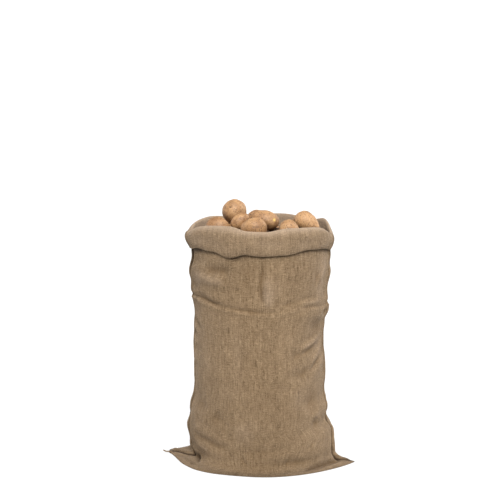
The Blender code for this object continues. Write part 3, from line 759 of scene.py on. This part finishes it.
def make_sack(grid, fields, wall_from, material):
    """The cloth, as one closed sheet."""
    rows, cols = grid.shape[:2]
    hub = rows * cols
    faces = ring_faces(rows, cols) + fan(0, cols, hub, -1)
    points = np.concatenate([grid.reshape(-1, 3), [[0, 0, BASE_Z]]])
    sack = mesh_object("hessian_sack", points, faces, material)
    u, v = thread_lengths(grid, wall_from)
    layer = sack.data.uv_layers.new(name="threads")
    for face in sack.data.polygons:
        cs = [i % cols for i in face.vertices]
        wraps = max(cs) - min(cs) > 1 and hub not in face.vertices
        for loop, i in zip(face.loop_indices, face.vertices):
            c = 0 if i == hub else i % cols
            r = 0 if i == hub else i // cols
            layer.data[loop].uv = (u[cols] if wraps and c == 0 else u[c], v[r])
    store(sack, {name: np.append(values.ravel(), 0) for name, values in fields.items()})
    thick = sack.modifiers.new("cloth", "SOLIDIFY")
    thick.thickness = CLOTH
    thick.offset = 1.0
    graph = bpy.context.evaluated_depsgraph_get()
    mesh = bpy.data.meshes.new_from_object(sack.evaluated_get(graph))
    sack.modifiers.clear()
    sack.data = mesh
    return sack


# ---------------- stitches

STITCH = 0.0105  # from one stitch to the next
STITCH_SHARE = 0.62  # how much of that lies on the outside
STITCH_RADIUS = 0.00075
STITCH_LIFT = 0.0009  # how far its middle stands off the cloth
STITCH_SLANT = 0.0016
STITCH_SIDES = 6
STITCH_PARTS = 6
TAIL = ((-0.2470, -0.0285, 0.0060), (-0.2545, -0.0275, 0.0062), (-0.2610, -0.0268, 0.0056),
        (-0.2660, -0.0250, 0.0050), (-0.2705, -0.0215, 0.0052), (-0.2745, -0.0205, 0.0066))
TAIL_RADIUS = 0.0024


def tube(spine, radii, sides):
    """Points and faces of a closed tube along a spine."""
    spine = np.asarray(spine)
    points = []
    for k, place in enumerate(spine):
        ahead = spine[min(k + 1, len(spine) - 1)] - spine[max(k - 1, 0)]
        ahead /= np.linalg.norm(ahead)
        side = np.cross(ahead, (0.12, 0.25, 1.0))
        side /= np.linalg.norm(side)
        top = np.cross(side, ahead)
        for turn in np.arange(sides) * 2 * math.pi / sides:
            points.append(place + radii[k] * (math.cos(turn) * side + math.sin(turn) * top))
    ends = [tuple(range(sides)), tuple(reversed(range(len(points) - sides, len(points))))]
    return points, ring_faces(len(spine), sides, -1) + ends


def make_stitches(grid, wall_from, cuff_from, material):
    """The twine that sews the two side seams, and its loose tail at the left corner."""
    points, faces = [], []
    normals = outward(grid)

    def add(part):
        start = len(points)
        points.extend(part[0])
        faces.extend(tuple(start + i for i in face) for face in part[1])

    cols = grid.shape[1]
    tuck = len(grid) - CUFF_PARTS[-1] - CUFF_PARTS[-2]
    t = np.linspace(0, math.pi, STITCH_PARTS)
    high = CLOTH - STITCH_RADIUS + (STITCH_LIFT + STITCH_RADIUS) * np.sin(t)
    for column in (0, cols // 2):
        for first, last in ((wall_from + WALL_PARTS[0] + WALL_PARTS[1], cuff_from - ROWS_UNDER_CUFF),
                            (cuff_from + sum(CUFF_PARTS[:3]), tuck)):
            line = grid[first:last, column]
            length = distances(np.linalg.norm(np.diff(line, axis=0), axis=1))
            for k in range(int(length[-1] / STITCH)):
                along = np.linspace(0, STITCH_SHARE, STITCH_PARTS) * STITCH + k * STITCH
                place, facing = (np.stack([np.interp(along, length, part[:, i]) for i in range(3)], -1)
                                 for part in (line, normals[first:last, column]))
                sideways = np.cross(facing, (0, 0, 1)) * (STITCH_SLANT * np.cos(t))[:, None]
                add(tube(place + facing * high[:, None] + sideways,
                         STITCH_RADIUS * (0.6 + 0.4 * np.sin(t)), STITCH_SIDES))
    tail = curve_through(TAIL, (3,) * (len(TAIL) - 1))
    add(tube(tail, TAIL_RADIUS * np.linspace(1.0, 0.70, len(tail)), STITCH_SIDES))
    return mesh_object("seam_stitches", points, faces, material)


# ---------------- potatoes

FINE = 5  # subdivisions of a potato that shows well
PLAIN = 4
SHOWN_WELL = ("peak", "front_left", "leaning", "front_mid", "long_top", "front_right", "right_top")
SMOOTHINGS = {FINE: 30, PLAIN: 8}  # how often the CAD piece's facets are smoothed away
SKIN_LUMP = 0.0013
SKIN_LUMP_SIZE = 0.022
EYES = 8
EYE_DEPTH = 0.0017
EYE_LENGTH = 0.0042
EYE_HEIGHT = 0.0019
EYE_SPAN = 0.020  # nothing changes further from an eye than this
EYE_BEND = 0.35  # an eye is a bent slot,
BROW_AT, BROW = 1.7, 0.35  # with a brow beside it, at this many heights and this share of its depth
RAGGED, RAGGED_SIZE = 0.45, 0.006  # how uneven a bruise's edge is
CLEAR_FRONT = -0.15  # how far forward a stray eye may face
GOLDEN = math.pi * (3 - math.sqrt(5))
PotatoSkin = namedtuple("PotatoSkin", "directions faces pairs")

# Marks that show in front: on which potato, in which direction from its middle, how wide, and
# whether it is an eye, a bruise, a swell or a scuff that bares the flesh. A potato that shows well
# has no other eyes in front.
MARKS = table(
    "potato kind direction size",
    ("peak", "eye", (-0.17, -0.84, 0.48), 0.0046), ("peak", "bruise", (-0.62, -0.66, 0.38), 0.005),
    ("peak", "bruise", (-0.66, -0.74, 0.05), 0.0042), ("peak", "bruise", (-0.5, -0.74, -0.3), 0.013),
    ("peak", "bruise", (0.3, -0.7, 0.52), 0.0026), ("front_left", "eye", (-0.8, -0.58, 0.1), 0.0038),
    ("front_left", "bruise", (-0.02, -0.92, 0.22), 0.008),
    ("front_left", "bruise", (-0.5, -0.8, 0.28), 0.003), ("leaning", "bruise", (0.2, -0.8, 0.42), 0.005),
    ("leaning", "bruise", (-0.35, -0.8, 0.05), 0.006), ("leaning", "bruise", (0.55, -0.6, 0.45), 0.004),
    ("leaning", "bruise", (-0.7, -0.6, -0.3), 0.004), ("front_mid", "eye", (0.16, -0.9, 0.3), 0.0034),
    ("front_mid", "bruise", (0.42, -0.8, 0.3), 0.0042), ("front_mid", "bruise", (-0.4, -0.8, 0.3), 0.003),
    ("front_right", "eye", (0.05, -0.86, 0.42), 0.0034),
    ("front_right", "bruise", (0.3, -0.82, 0.28), 0.005),
    ("right_top", "eye", (0.52, -0.74, -0.42), 0.0036), ("right_top", "swell", (0.82, -0.24, -0.5), 0.02),
    ("long_top", "scuff", (0.8, -0.52, 0.16), 0.0042), ("long_top", "bruise", (0.88, -0.4, -0.06), 0.005),
    ("long_top", "bruise", (0.3, -0.8, -0.5), 0.011),
)
SWELL = 0.0080  # how far a swell stands out
# How pale some potatoes are. The others are drawn at random from 0 to 1, and -1 is in deep shade,
# which is painted dark as painted shade.
TONES = {"peak": 0.6, "front_left": 0.4, "leaning": 0.3, "front_mid": 0.5, "front_right": 0.9,
         "right_top": 1.2, "long_top": 0.5, "under_long": -1.0}


def ball(subdivisions):
    """Directions, faces and edges of a fine ball."""
    work = bmesh.new()
    bmesh.ops.create_icosphere(work, subdivisions=subdivisions, radius=1)
    directions = np.array([tuple(v.co.normalized()) for v in work.verts])
    faces = [tuple(v.index for v in face.verts) for face in work.faces]
    pairs = np.array([(e.verts[0].index, e.verts[1].index) for e in work.edges])
    work.free()
    return PotatoSkin(directions, faces, pairs)


def spread_out(values, pairs, times):
    """Smooth the values over a ball's edges."""
    count = np.zeros(len(values))
    np.add.at(count, pairs.ravel(), 1)
    for _ in range(times):
        total = np.zeros(len(values))
        np.add.at(total, pairs[:, 0], values[pairs[:, 1]])
        np.add.at(total, pairs[:, 1], values[pairs[:, 0]])
        values = 0.4 * values + 0.6 * total / count
    return values


def skin_reach(node, skin):
    """A CAD potato's middle, and how far its surface is in each direction."""
    low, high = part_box(node)
    middle = Vector((low + high) / 2)
    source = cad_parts[node].data
    tree = BVHTree.FromPolygons([v.co for v in source.vertices],
                                [tuple(p.vertices) for p in source.polygons])
    reach = np.array([(tree.ray_cast(middle, Vector(d))[0] - middle).length for d in skin.directions])
    return np.array(middle), reach


def eye_spots(number, name, random):
    """Directions and sizes of a potato's eyes."""
    spots = [(Vector(mark.direction).normalized(), mark.size / EYE_LENGTH)
             for mark in MARKS if mark.potato == name and mark.kind == "eye"]
    tip = Vector(random.normal(size=3)).normalized()
    for k in range(EYES - len(spots)):
        up = 1 - 2 * (k + 0.5) / EYES
        turn = GOLDEN * k + number + random.uniform(-0.4, 0.4)
        flat = math.sqrt(1 - up * up)
        spot = Vector((up, flat * math.cos(turn), flat * math.sin(turn)))
        spot.rotate(Vector((1, 0, 0)).rotation_difference(tip))
        size = random.uniform(0.6, 1.1)
        if name not in SHOWN_WELL or spot.y > CLEAR_FRONT:
            spots.append((spot, size))
    return spots


def make_potato(node, material, number, subdivisions, skin):
    """A potato in the place and shape of its CAD piece, with an uneven skin, eyes and marks."""
    name = node.removeprefix("potato_")
    middle, reach = skin_reach(node, skin)
    smooth = spread_out(reach, skin.pairs, SMOOTHINGS[subdivisions])
    smooth *= (reach ** 3).mean() ** (1 / 3) / (smooth ** 3).mean() ** (1 / 3)
    points = skin.directions * smooth[:, None]
    lumps = noise_at(points, SKIN_LUMP_SIZE, number * 3.7)
    lumps += 0.5 * noise_at(points, SKIN_LUMP_SIZE / 2.2, number * 5.1)
    smooth += SKIN_LUMP * lumps
    fields = {kind: np.zeros(len(smooth)) for kind in ("eye", "bruise", "scuff", "swell")}
    random = np.random.default_rng(100 + number)
    for spot, size in eye_spots(number, name, random):
        spot = np.array(spot)
        away = points - points[np.argmax(skin.directions @ spot)]
        level = np.cross(spot, (0.3, 0.1, 1.0))
        level /= np.linalg.norm(level)
        along = away @ level / (EYE_LENGTH * size)
        across = away @ np.cross(spot, level) / (EYE_HEIGHT * size) + EYE_BEND * along ** 2
        close = np.linalg.norm(away, axis=1) < EYE_SPAN
        near = np.exp(-along ** 2 - across ** 2) * close
        brow = np.exp(-along ** 2 - (across - BROW_AT) ** 2) * close
        smooth = smooth - EYE_DEPTH * size * (near - BROW * brow)
        fields["eye"] = np.maximum(fields["eye"], near)
    for mark in MARKS:
        if mark.potato == name and mark.kind != "eye":
            spot = np.array(Vector(mark.direction).normalized())
            away = np.linalg.norm(points - points[np.argmax(skin.directions @ spot)], axis=1)
            if mark.kind != "swell":
                away *= 1 + RAGGED * noise_at(points, RAGGED_SIZE, number * 1.9)
            fields[mark.kind] = np.maximum(fields[mark.kind], fade(away, mark.size))
    smooth = smooth + SWELL * fields.pop("swell")
    potato = mesh_object(node + "_skin", middle + skin.directions * smooth[:, None], skin.faces, material)
    fields["tone"] = np.full(len(smooth), TONES.get(name, random.uniform(0, 1)))
    store(potato, fields)
    return potato


# The potatoes below the heap, as one body: its rows up the side, and its top, which is a layer of
# half-buried potatoes no higher than the CAD body's plain top.
BELOW_INSET = 0.0125
BELOW_FOOT = 0.90
BELOW_ROWS = (0.0300, 0.095, 0.158, 0.240, 0.350, 0.430, 0.500, 0.560, 0.585)
BELOW_TOP = 0.618
BELOW_SLOPE = -0.190  # rise of its top for each metre towards the back
BELOW_CROWN = ((0.0, 0.0), (0.36, 0.0), (0.74, 0.002), (0.94, 0.010), (1.0, 0.030))
BELOW_COLUMNS = 128
BELOW_RINGS = 44
BELOW_SPACING = (0.062, 0.054)
BELOW_SIZE = (0.038, 0.030, 0.027)  # half sizes
BELOW_SIZES = (0.88, 1.08)  # and how much each of them varies
BELOW_STRAY = ((-0.006, 0.006), (-0.005, 0.005))
BELOW_REACH = range(-4, 5)
BELOW_DEEPEST = 0.026
BELOW_FILL = 0.97


def below_top(x, y, share):
    """Height of the plain top of the potatoes below."""
    shares, drops = zip(*BELOW_CROWN)
    return BELOW_TOP + BELOW_SLOPE * y - np.interp(share, shares, drops)


def below_heap(x, y, share):
    """Height of the layer of half-buried potatoes."""
    random = np.random.default_rng(7)
    plain = below_top(x, y, share)
    high = plain - BELOW_DEEPEST
    for row in BELOW_REACH:
        for step in BELOW_REACH:
            cx = (step + 0.5 * (row % 2)) * BELOW_SPACING[0] + random.uniform(*BELOW_STRAY[0])
            cy = row * BELOW_SPACING[1] + random.uniform(*BELOW_STRAY[1])
            turn = random.uniform(0, math.pi)
            long, wide, deep = (side * random.uniform(*BELOW_SIZES) for side in BELOW_SIZE)
            u = (x - cx) * math.cos(turn) + (y - cy) * math.sin(turn)
            v = (y - cy) * math.cos(turn) - (x - cx) * math.sin(turn)
            inside = 1 - (u / long) ** 2 - (v / wide) ** 2
            middle = BELOW_TOP + BELOW_SLOPE * cy - deep - 0.001
            lump = middle + deep * np.sqrt(np.maximum(inside, 0))
            high = np.where(inside > 0, np.maximum(high, lump), high)
    return np.minimum(high, plain)


def make_below(material):
    """The hidden potatoes, as one closed body that stands on the sack's base."""
    angles = np.arange(BELOW_COLUMNS) * 360 / BELOW_COLUMNS
    rings = []
    for z in BELOW_ROWS:
        section = Section(z)
        rings.append(section.ring(section.angle(angles), -BELOW_INSET, z))
    foot_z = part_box("filling_core")[0][2]
    rings.insert(0, rings[0] * (BELOW_FOOT, BELOW_FOOT, 0) + (0, 0, foot_z))
    rim = rings[-1]
    for k in range(1, BELOW_RINGS):
        share = 1 - k / BELOW_RINGS
        x, y = rim[:, 0] * share, rim[:, 1] * share
        height = below_heap(x, y, np.full(len(x), share))
        blend = ramp(share, BELOW_FILL, 1.0)
        rings.append(np.stack([x, y, height * (1 - blend) + rim[:, 2] * blend], -1))
    low = len(rings) * BELOW_COLUMNS
    faces = (ring_faces(len(rings), BELOW_COLUMNS) + fan(0, BELOW_COLUMNS, low, -1)
             + fan(low - BELOW_COLUMNS, BELOW_COLUMNS, low + 1))
    centre = below_heap(np.zeros(1), np.zeros(1), np.zeros(1))[0]
    points = np.concatenate([np.concatenate(rings), [(0, 0, foot_z), (0, 0, centre)]])
    return mesh_object("potatoes_below", points, faces, material)


# ---------------- materials


class Graph:
    """A material's nodes, made one call at a time."""

    def __init__(self, name):
        self.material = bpy.data.materials.new(name)
        self.material.use_nodes = True
        self.tree = self.material.node_tree
        self.place = self.node("ShaderNodeTexCoord").outputs["Object"]

    def put(self, node, inputs):
        """Link a node's inputs, by name or number, or set them."""
        for key, value in dict(inputs).items():
            if isinstance(value, bpy.types.NodeSocket):
                self.tree.links.new(value, node.inputs[key])
            else:
                node.inputs[key].default_value = value
        return node

    def node(self, kind, inputs=(), **settings):
        """A node with its settings and inputs."""
        made = self.tree.nodes.new(kind)
        for key, value in settings.items():
            setattr(made, key, value)
        return self.put(made, inputs)

    def field(self, name):
        """A value that the mesh's points hold."""
        return self.node("ShaderNodeAttribute", attribute_name=name).outputs["Fac"]

    def math(self, operation, a, b=0.5):
        """A Math node."""
        return self.node("ShaderNodeMath", {0: a, 1: b}, operation=operation).outputs[0]

    def times(self, a, b, plus=0.0):
        """a times b, plus something."""
        return self.node("ShaderNodeMath", {0: a, 1: b, 2: plus}, operation="MULTIPLY_ADD").outputs[0]

    def fit(self, value, low, high, to_low=0.0, to_high=1.0):
        """A value taken from one range to another, and held inside it."""
        ends = {"From Min": low, "From Max": high, "To Min": to_low, "To Max": to_high}
        return self.node("ShaderNodeMapRange", {"Value": value, **ends}).outputs[0]

    def noise(self, vector, scale, detail=2.0, roughness=0.5):
        """A Noise texture's value."""
        inputs = {"Vector": vector, "Scale": scale, "Detail": detail, "Roughness": roughness}
        return self.node("ShaderNodeTexNoise", inputs).outputs[0]

    def layers(self, color, *rows):
        """A colour with others laid on it: each row is a value, a colour, the value's range, and how
        thickly the colour lies at both ends of it."""
        for value, over, *ends in rows:
            mix = {0: self.fit(value, *ends), 6: color, 7: over}
            color = self.node("ShaderNodeMix", mix, data_type="RGBA").outputs[2]
        return color

    def bump(self, height, distance, strength=1.0, **normal):
        """A Bump node on top of another."""
        inputs = {"Height": height, "Distance": distance, "Strength": strength, **normal}
        return self.node("ShaderNodeBump", inputs).outputs[0]

    def finish(self, **sockets):
        """Set the shader's sockets and give the material."""
        self.put(self.tree.nodes["Principled BSDF"],
                 {key.replace("_", " "): value for key, value in sockets.items()})
        return self.material


THREAD = 0.0021  # from one thread to the next
JUTE_PALE = (0.290, 0.203, 0.121, 1)
JUTE_MID = (0.180, 0.120, 0.067, 1)
JUTE_DARK = (0.066, 0.039, 0.018, 1)
JUTE_SHADE = (0.024, 0.012, 0.005, 1)
# a brown painted shade for the hollows
JUTE_HOLLOW_SHADE = (0.105, 0.060, 0.025, 1)
# painted light on the cloth: its inner face, the cuff, highlight patches and ridges
JUTE_LIT = (0.400, 0.306, 0.226, 1)
JUTE_SHEEN = (1.0, 0.86, 0.72, 1)
TWINE = (0.200, 0.135, 0.078, 1)
TWINE_DARK = (0.100, 0.066, 0.038, 1)
SKIN_PALE = (0.366, 0.212, 0.098, 1)
SKIN_MID = (0.240, 0.122, 0.050, 1)
SKIN_RUSSET = (0.105, 0.043, 0.015, 1)
SOIL = (0.045, 0.022, 0.011, 1)
FLESH = (0.520, 0.360, 0.100, 1)
# painted shade: the potatoes below are darker
DEEP_PALE = (0.150, 0.080, 0.036, 1)
DEEP_DARK = (0.060, 0.030, 0.014, 1)


def hessian():
    """Coarse plain-woven jute: thick and thin threads, small gaps, slubs and flecks."""
    g = Graph("hessian")
    uv = g.node("ShaderNodeUVMap", uv_map="threads").outputs[0]
    u, v, _ = g.node("ShaderNodeSeparateXYZ", {0: uv}).outputs

    def cells(per_u, per_v, seed, detail=1.0):
        """Noise drawn out along the threads."""
        at = g.node("ShaderNodeCombineXYZ", {0: g.times(u, per_u), 1: g.times(v, per_v), 2: seed})
        return g.noise(at.outputs[0], 1.0, detail)

    def woven(at, per_u, per_v, seed):
        """A wave with a thread in each half, which wanders a little."""
        wander = g.times(cells(per_u, per_v, seed), 1.6 * THREAD, at)
        return g.math("SINE", g.times(wander, math.pi / THREAD))

    def total(start, *rows):
        """The sum of values, each with its weight."""
        for value, weight in rows:
            start = g.times(value, weight, start)
        return start

    warp, weft = woven(u, 40, 22, 0.0), woven(v, 22, 40, 7.0)
    gap = g.times(*(g.math("SUBTRACT", 1.0, g.math("ABSOLUTE", wave)) for wave in (warp, weft)))
    # each thread has its own thickness and colour, which change slowly along it
    warp_tone, weft_tone = cells(380, 34, 2.0), cells(75, 400, 3.0)
    slub_up, slub_round = cells(300, 60, 5.0, 2.0), cells(60, 300, 6.0, 2.0)
    grain = g.noise(g.place, 460.0, 2.0, 0.6)
    bands = (cells(150, 4, 8.0, 2.0), 0.34), (cells(42, 1.6, 11.0, 2.0), 0.20)
    parts = ((warp_tone, 0.70), (weft_tone, 0.60), (slub_up, 0.24), (slub_round, 0.20), (grain, 1.10),
             *bands, (g.noise(g.place, 9.0, 3.0), 0.12))
    mean = 0.5 * sum(share for _, share in parts)
    tone = g.fit(total(0.0, *parts), mean - 0.40, mean + 0.385)
    height = g.node("ShaderNodeSeparateXYZ", {0: g.place}).outputs[2]
    stands = g.field("relief")
    color = g.layers(
        JUTE_DARK, (tone, JUTE_MID, 0, 0.5, 0, 1), (tone, JUTE_PALE, 0.5, 1, 0, 1),
        (gap, JUTE_DARK, 0.25, 0.8, 0, 0.45),
        # flecks and pale fibres
        (cells(400, 150, 9.0), JUTE_DARK, 0.7, 0.8, 0, 0.44),
        (cells(170, 330, 12.0), JUTE_PALE, 0.7, 0.8, 0, 0.35),
        # painted shade darkens the foot and browns the hollows, painted light pales the inner face, the
        # cuff and some patches, and a painted highlight pales the ridges
        (height, JUTE_DARK, 0, 0.3, 0.19, 0), (g.field("clean"), JUTE_LIT, 0, 2, 0, 0.92),
        (stands, JUTE_HOLLOW_SHADE, -0.0070, -0.0006, 0.6, 0), (stands, JUTE_LIT, 0.001, 0.005, 0, 0.13),
        # painted shade in the seams, the corner folds, the tuck and under the cuff
        (g.field("dust"), JUTE_SHADE, 0, 1, 0, 0.93))
    relief = total(0.0, (g.times(warp, weft), 0.3), (gap, -0.8), (warp_tone, 0.7), (weft_tone, 0.4),
                   (slub_up, 1.5), (slub_round, 1.0), (grain, 1.0))
    return g.finish(Base_Color=color, Roughness=0.95, Normal=g.bump(relief, 0.0013), Sheen_Weight=0.10,
                    Sheen_Tint=JUTE_SHEEN, Sheen_Roughness=0.45, Specular_IOR_Level=0.15)


def twine():
    """Twisted jute twine."""
    g = Graph("seam_twine")
    strand = g.noise(g.place, 700.0)
    color = g.layers(TWINE_DARK, (strand, TWINE, 0.35, 0.65, 0, 1))
    return g.finish(Base_Color=color, Roughness=0.9, Normal=g.bump(strand, 0.0004, 0.8),
                    Specular_IOR_Level=0.2)


def potato_skin():
    """Washed potato skin: tan, netted and speckled, with dark eyes, bruises and a bare scuff."""
    g = Graph("potato_skin")
    tone, bruise = g.field("tone"), g.field("bruise")
    cloud = g.noise(g.place, 34.0, 4.0)
    net = g.noise(g.place, 380.0, 5.0, 0.68)
    speck = g.node("ShaderNodeTexVoronoi", {"Vector": g.place, "Scale": 210.0}).outputs["Distance"]
    some = g.fit(g.noise(g.place, 90.0, 1.0), 0.46, 0.54)
    specks = g.times(g.fit(speck, 0.18, 0.38, 0.85, 0.0), some)
    broken = g.fit(g.noise(g.place, 300.0, 3.0), 0.30, 0.60, 0.55, 1.0)
    color = g.layers(
        SKIN_MID, (g.times(tone, 0.26, cloud), SKIN_PALE, 0.44, 0.76, 0, 1),
        (net, SKIN_RUSSET, 0.46, 0.70, 0, 0.80), (specks, SOIL, 0, 1, 0, 1),
        (g.noise(g.place, 32.0, 4.0), SKIN_RUSSET, 0.50, 0.68, 0, 0.45),
        (g.times(g.fit(bruise, 0.10, 0.85, 0.0, 0.72), broken), SKIN_RUSSET, 0, 1, 0, 1),
        (g.field("eye"), SOIL, 0.12, 0.85, 0, 0.85), (g.field("scuff"), FLESH, 0.35, 0.60, 0, 0.9),
        # a tone below 0 lays on soil colour as painted shade
        (tone, SOIL, -1, 0, 0.85, 0))
    normal = g.bump(cloud, 0.0014, 0.5, Normal=g.bump(net, 0.0005, 0.7))
    return g.finish(Base_Color=color, Roughness=0.58, Normal=normal, Specular_IOR_Level=0.35)


def deep_potatoes():
    """The potatoes below, earthier, and darker as painted shade under the others."""
    g = Graph("potatoes_below")
    color = g.layers(DEEP_DARK, (g.noise(g.place, 30.0, 4.0), DEEP_PALE, 0.35, 0.7, 0, 1))
    normal = g.bump(g.noise(g.place, 300.0, 3.0), 0.0005, 0.6)
    return g.finish(Base_Color=color, Roughness=0.8, Normal=normal)


def floor_finish():
    """A plain pale studio floor, lit a little from within so that it stays pale all round."""
    g = Graph("studio_floor")
    color = g.layers((0.16, 0.16, 0.16, 1), (g.noise(g.place, 3.0), (0.17, 0.17, 0.17, 1), 0.3, 0.7, 0, 1))
    return g.finish(Base_Color=color, Roughness=0.9, Specular_IOR_Level=0.0, Emission_Color=(1, 1, 1, 1),
                    Emission_Strength=0.80)


# ---------------- camera, lights and floor

CAMERA_PLACE = (0.63782, -3.44139, 1.18468)
CAMERA_TURN = 11.382  # degrees left of +Y
CAMERA_DOWN = 9.160
CAMERA_LENS = 96.375
SENSOR = 36.0


def heading(left, down):
    """A direction, in degrees left of +Y and down from level."""
    left, down = math.radians(left), math.radians(down)
    return Vector((-math.sin(left) * math.cos(down), math.cos(left) * math.cos(down), -math.sin(down)))


def aimed(name, data, place, ahead):
    """A camera or light that looks along a direction."""
    thing = bpy.data.objects.new(name, data)
    thing.location = place
    thing.rotation_mode = "QUATERNION"
    thing.rotation_quaternion = ahead.to_track_quat("-Z", "Y")
    bpy.context.scene.collection.objects.link(thing)
    return thing


def make_camera():
    """The camera, at the photograph's angle."""
    data = bpy.data.cameras.new("camera")
    data.lens, data.sensor_width = CAMERA_LENS, SENSOR
    bpy.context.scene.camera = aimed("camera", data, CAMERA_PLACE, heading(CAMERA_TURN, CAMERA_DOWN))


# Far, broad lights: where each shines from, in degrees left of the front and above the floor, how
# broad it looks in degrees, and how strong it is.
LIGHTS = table(
    "name left above broad power",
    ("key", -6, 46, 22, 5.0), ("top", 0, 80, 60, 1.4), ("fill", -30, 20, 60, 0.5),
    ("rim_left", 112, 24, 40, 1.1), ("rim_right", -112, 24, 40, 2.4),
)
SKY = (1.0, 0.95, 0.89, 1)
SKY_STRENGTH = 0.15

# The floor is a wide dish, so that it is also the backdrop: its radius and height, ring by ring.
DISH = ((2.0, 0.0), (6.0, 0.0), (12.0, 0.0), (16.0, 0.25), (19.0, 1.0), (22.0, 2.6), (24.0, 4.8),
        (25.0, 7.5))
DISH_SIDES = 96


def make_lights():
    """Soft lights from the front and from behind both sides, and an even pale sky."""
    for light in LIGHTS:
        data = bpy.data.lights.new(light.name, "SUN")
        data.angle, data.energy = math.radians(light.broad), light.power
        ahead = heading(CAMERA_TURN - light.left, light.above)
        aimed(light.name, data, -4 * ahead, ahead)
    world = bpy.data.worlds.new("pale_sky")
    world.use_nodes = True
    sky = world.node_tree.nodes["Background"]
    sky.inputs[0].default_value = SKY
    sky.inputs[1].default_value = SKY_STRENGTH
    bpy.context.scene.world = world


def make_floor():
    """The floor and backdrop, which aren't part of the object."""
    turns = np.arange(DISH_SIDES) * 2 * math.pi / DISH_SIDES
    points = [(radius * math.cos(turn), radius * math.sin(turn), height)
              for radius, height in DISH for turn in turns] + [(0, 0, 0)]
    faces = ring_faces(len(DISH), DISH_SIDES, -1) + fan(0, DISH_SIDES, len(points) - 1)
    floor = mesh_object("floor", points, faces, floor_finish())


# ---------------- the scene

make_camera()
make_lights()
make_floor()
bpy.context.scene.view_settings.view_transform = "Standard"

grid, smooth, relief, stations, wall_from, cuff_from = cloth_grid()
# the fields hold painted shade, painted light, and how far the folds stand out
fields = {"dust": cavity(grid, smooth, stations, wall_from, cuff_from),
          "clean": painted_paleness(grid, cuff_from), "relief": relief}
sack = make_sack(grid, fields, wall_from, hessian())
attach(sack, "root")
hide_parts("sack")

stitches = make_stitches(grid, wall_from, cuff_from, twine())
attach(stitches, "root")

skin_material = potato_skin()
balls = {size: ball(size) for size in (FINE, PLAIN)}
potato_nodes = sorted(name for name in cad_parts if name.startswith("potato_"))
for number, node in enumerate(potato_nodes):
    size = FINE if node.removeprefix("potato_") in SHOWN_WELL else PLAIN
    potato = make_potato(node, skin_material, number, size, balls[size])
    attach(potato, "root")
    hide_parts(node)

below = make_below(deep_potatoes())
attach(below, "root")
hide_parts("filling_core")
